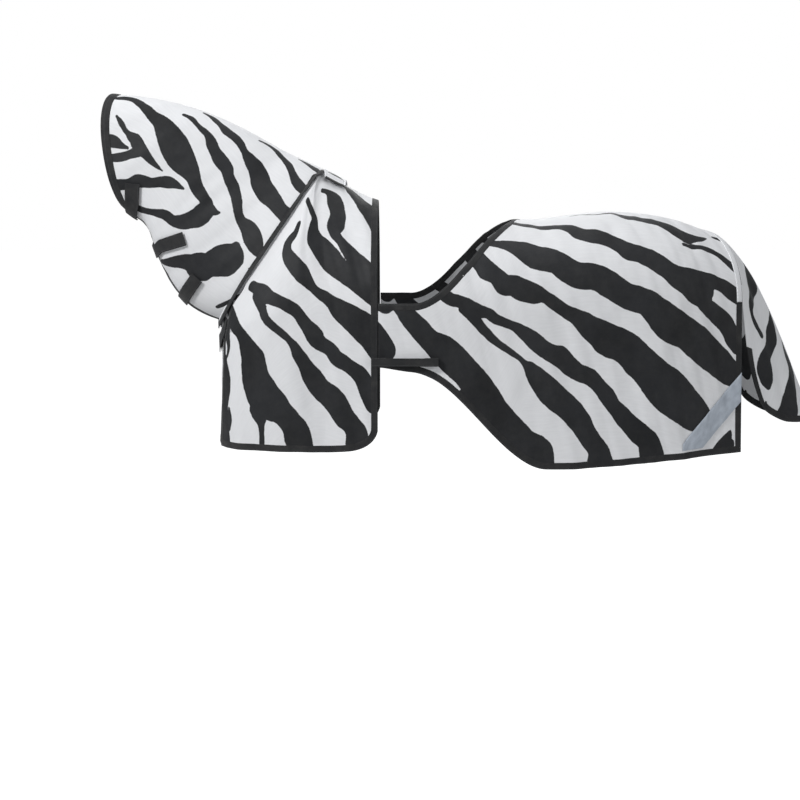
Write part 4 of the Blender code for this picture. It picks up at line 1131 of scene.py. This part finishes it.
def make_tabs():
    for key in NECK_TABS:
        patch_from(key + "_tab_cloth", key + "_tab", key + "_tab", neck_tab_points(key), 26, 9, TAB_CLOTH,
                   TAPE_T)
        patch_from(key + "_loop_pile", key + "_loop_patch", "neck_cover",
                   neck_tab_points(key, 0.42, 0.96, 0.006, PATCH_LIFT), 16, 7, HOOKS, TAPE_T)

    def chest_tab(a, b):
        return body_at(0.03 + 0.232 * a, 0.058 + 0.054 * b, TAB_LIFT)

    def chest_pile(a, b):
        return body_at(0.05 + 0.10 * a, 0.062 + 0.046 * b, PATCH_LIFT)
    patch_from("chest_tab_cloth", "chest_tab", "chest_tab", chest_tab, 24, 9, TAB_CLOTH,
               TAPE_T)
    patch_from("chest_loop_pile", "chest_loop_patch", "sheet_body", chest_pile, 14, 8, HOOKS,
               TAPE_T)


def make_withers_tab():
    def band(a, b):
        w = 2 * b - 1
        p, c = body_at(1.02 + 0.38 * a, np.abs(w) * 0.085, WITHERS_TAB_LIFT)
        return over_the_middle(w, p), c
    panel = Panel("withers_tab_cloth", band, 22, 45, ZEBRA, "body")
    sides = edging("withers_tab_sides", panel, [(0, 0), (0, 1)], 0.007, THREADED, thick=0.0026)
    rear = edging("withers_tab_rear_side", panel, [(1, 0), (1, 1)], 0.007, THREADED, thick=0.0026)
    ends = [edging("withers_tab_end_" + side, panel, [(0, b), (1, b)], 0.012, EDGE, thick=0.0034)
            for side, b in (("left", 0), ("right", 1))]
    ride_all("withers_tab", panel.piece, sides, rear, *ends)
    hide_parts("withers_tab")


def make_inside_tapes():
    for side, first_u in (("left", 0.47), ("right", 0.04)):
        def loop_tape(a, b, first_u=first_u):
            return body_at(first_u + (0.84 - first_u) * a, 0.018 + 0.014 * b, PATCH_LIFT)
        patch_from("neckline_tape_" + side, "neckline_loop_tape_" + side, "sheet_body", loop_tape, 70, 5,
                   THREADED, TAPE_T, flip=side == "right")
    first = station_at_x(OPENING_REAR_X + 0.03, -0.2)

    def spine(a, b):
        w = 2 * b - 1
        p, c = body_at(first + (LAST - 0.03 - first) * a, np.abs(w) * 0.010, INSIDE_LIFT)
        return over_the_middle(w, p), c

    def crest(a, b):
        w = 2 * b - 1
        p, c = neck_at(0.06 + 0.80 * a, math.pi - np.abs(w) * 0.16, INSIDE_LIFT)
        return over_the_middle(w, p), c
    patch_from("spine_tape", "spine_seam_tape", "sheet_body", spine, 60, 7, THREADED, TAPE_T)
    patch_from("crest_tape", "crest_seam_tape", "neck_cover", crest, 60, 7, THREADED, TAPE_T)


def make_reflective_strips():
    def strip(a, b):
        us, qs = np.empty(a.shape), np.empty(a.shape)
        for k in np.ndindex(a.shape):
            x = STRIP_START[0] + STRIP_RUN[0] * a[k]
            z = STRIP_START[1] + STRIP_RUN[1] * a[k] - STRIP_W * STRIP_SLANT * b[k]
            us[k] = station_at_x(x, z)
            low = belly_z(x) + BINDING_W + STRIP_CLEAR
            qs[k] = length_at_z(us[k], max(z, low + TAPE_T * (1 - b[k])))
        return body_at(us, qs, STRIP_LIFT)
    for side in ("left", "right"):
        patch_from("reflective_band_" + side, "reflective_strip_" + side, "sheet_body", strip, 26, 8, SILVER,
                   TAPE_T * 0.6, flip=side == "right")


def folded_webbing(name, node, body, material):
    """A sewn end of webbing folded over itself: thin slabs with rounded edges, one on another."""
    low, high = (np.array(c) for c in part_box(node))
    bm = bmesh.new()
    step = (high[1] - low[1]) / WEBBING_LAYERS
    for k in range(WEBBING_LAYERS):
        made = bmesh.ops.create_cube(bm, size=1.0)["verts"]
        inset = 0.0006 * (k % 2)
        size = Vector((high[0] - low[0] - inset, step * 0.94, high[2] - low[2] - inset))
        bmesh.ops.scale(bm, vec=size, verts=made)
        middle = Vector(((low[0] + high[0]) / 2, low[1] + step * (k + 0.5), (low[2] + high[2]) / 2))
        bmesh.ops.translate(bm, vec=middle, verts=made)
    bmesh.ops.bevel(bm, geom=bm.edges[:], offset=step * 0.36, segments=3, profile=0.5, affect="EDGES",
                    material=-1)
    uv_layer = bm.loops.layers.uv.new("cloth")
    for face in bm.faces:
        for loop in face.loops:
            loop[uv_layer].uv = (loop.vert.co.x, loop.vert.co.z - low[2])
    piece = new_piece(name, bm, material)
    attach(piece, body)
    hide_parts(node)


def make_girth_straps():
    for side in ("left", "right"):
        node = "girth_strap_" + side
        low, high = (np.array(c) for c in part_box(node))
        middle, out = (low[1] + high[1]) / 2, math.copysign(1, low[1])
        a, b = unit_grid(64, 9)
        bow = 0.0016 * np.sin(math.pi * a) ** 2 + 0.0003 * np.sin(9.0 * a) * np.sin(math.pi * a)
        points = np.stack([low[0] + (high[0] - low[0]) * a, middle + out * bow,
                           low[2] + (high[2] - low[2]) * b], -1)
        strap = set_grid("girth_webbing_" + side, points, WEBBING, wall=high[1] - low[1])
        soften_edges(strap, 0.0006)
        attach(strap, node)
        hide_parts(node)
        folded_webbing("girth_loop_pile_" + side, "girth_strap_loop_pad_" + side, "sheet_body", HOOKS)
        folded_webbing("girth_sewn_end_" + side, "girth_strap_base_" + side, "sheet_body", WEBBING)


# ---- the stage ---------------------------------------------------------------------------------
WHITE = (1.0, 1.0, 1.0, 1)
FLOOR_GREY = (0.60, 0.60, 0.60, 1)
FLOOR_GLOW = 0.82            # added for the camera alone, so that the floor ends in white
FLOOR_PLACE = (0.3, 10.0, -1.71)
SKY_COLOUR = (0.96, 0.98, 1.0, 1)
SKY_STRENGTH = 0.36
# name, place, what it points at, size in metres and power in watts
LIGHTS = [
    ("key", (-3.2, -3.0, 2.6), (0.3, 0, -0.4), 1.2, 175),
    ("fill", (3.6, -3.4, 1.0), (0.5, 0, -0.4), 2.5, 34),
    ("top", (0.4, 0.6, 4.2), (0.3, 0, -0.4), 2.5, 50),
    ("back", (0.5, 4.4, 2.0), (0.3, 0, -0.4), 3.0, 60),
]
CAMERA_PLACE = (0.211, -5.0, -0.08)
CAMERA_DOWN = 7.116          # degrees below the level
CAMERA_LENS = 70.29          # in mm, on a 36 mm wide sensor


def floor_material():
    material = bpy.data.materials.new("pale_floor")
    material.use_nodes = True
    shader = material.node_tree.nodes["Principled BSDF"]
    shader.inputs["Base Color"].default_value = FLOOR_GREY
    shader.inputs["Roughness"].default_value = 0.9
    shader.inputs["Emission Color"].default_value = WHITE
    nodes, links = material.node_tree.nodes, material.node_tree.links
    glow = nodes.new("ShaderNodeMath")
    glow.operation = "MULTIPLY"
    glow.inputs[1].default_value = FLOOR_GLOW
    links.new(nodes.new("ShaderNodeLightPath").outputs["Is Camera Ray"], glow.inputs[0])
    links.new(glow.outputs[0], shader.inputs["Emission Strength"])
    return material


def make_floor():
    bm = bmesh.new()
    bmesh.ops.create_grid(bm, x_segments=1, y_segments=1, size=40.0)
    bmesh.ops.translate(bm, vec=Vector(FLOOR_PLACE), verts=bm.verts)
    floor = new_piece("floor", bm, floor_material())


def make_world():
    """A pale sky that lights the object, and plain white behind it."""
    world = bpy.data.worlds.new("studio")
    world.use_nodes = True
    nodes, links = world.node_tree.nodes, world.node_tree.links
    light, seen = nodes["Background"], nodes.new("ShaderNodeBackground")
    for background, colour, strength in ((light, SKY_COLOUR, SKY_STRENGTH), (seen, WHITE, 1.0)):
        background.inputs["Color"].default_value = colour
        background.inputs["Strength"].default_value = strength
    path, mix = nodes.new("ShaderNodeLightPath"), nodes.new("ShaderNodeMixShader")
    links.new(path.outputs["Is Camera Ray"], mix.inputs[0])
    links.new(light.outputs[0], mix.inputs[1])
    links.new(seen.outputs[0], mix.inputs[2])
    links.new(mix.outputs[0], nodes["World Output"].inputs["Surface"])
    bpy.context.scene.world = world
    bpy.context.scene.view_settings.view_transform = "Standard"


def area_light(name, place, target, size, power_w):
    light = bpy.data.lights.new(name, "AREA")
    light.shape, light.size, light.energy = "DISK", size, power_w
    lamp = bpy.data.objects.new(name, light)
    lamp.location = place
    lamp.rotation_euler = (Vector(target) - Vector(place)).to_track_quat("-Z", "Y").to_euler()
    bpy.context.scene.collection.objects.link(lamp)


def make_camera():
    camera = bpy.data.cameras.new("camera")
    camera.lens, camera.sensor_width = CAMERA_LENS, 36.0
    camera.clip_end = 200
    holder = bpy.data.objects.new("camera", camera)
    holder.location = CAMERA_PLACE
    holder.rotation_euler = (math.radians(90 - CAMERA_DOWN), 0, 0)
    bpy.context.scene.collection.objects.link(holder)
    bpy.context.scene.camera = holder


make_front_left()
make_front_right()
for side_name, on_right in (("left", False), ("right", True)):
    make_quarter(side_name, on_right)
    make_neck(side_name, on_right)
make_tail_cover()
make_tabs()
make_withers_tab()
make_inside_tapes()
make_reflective_strips()
make_girth_straps()
make_floor()
make_world()
for light_values in LIGHTS:
    area_light(*light_values)
make_camera()
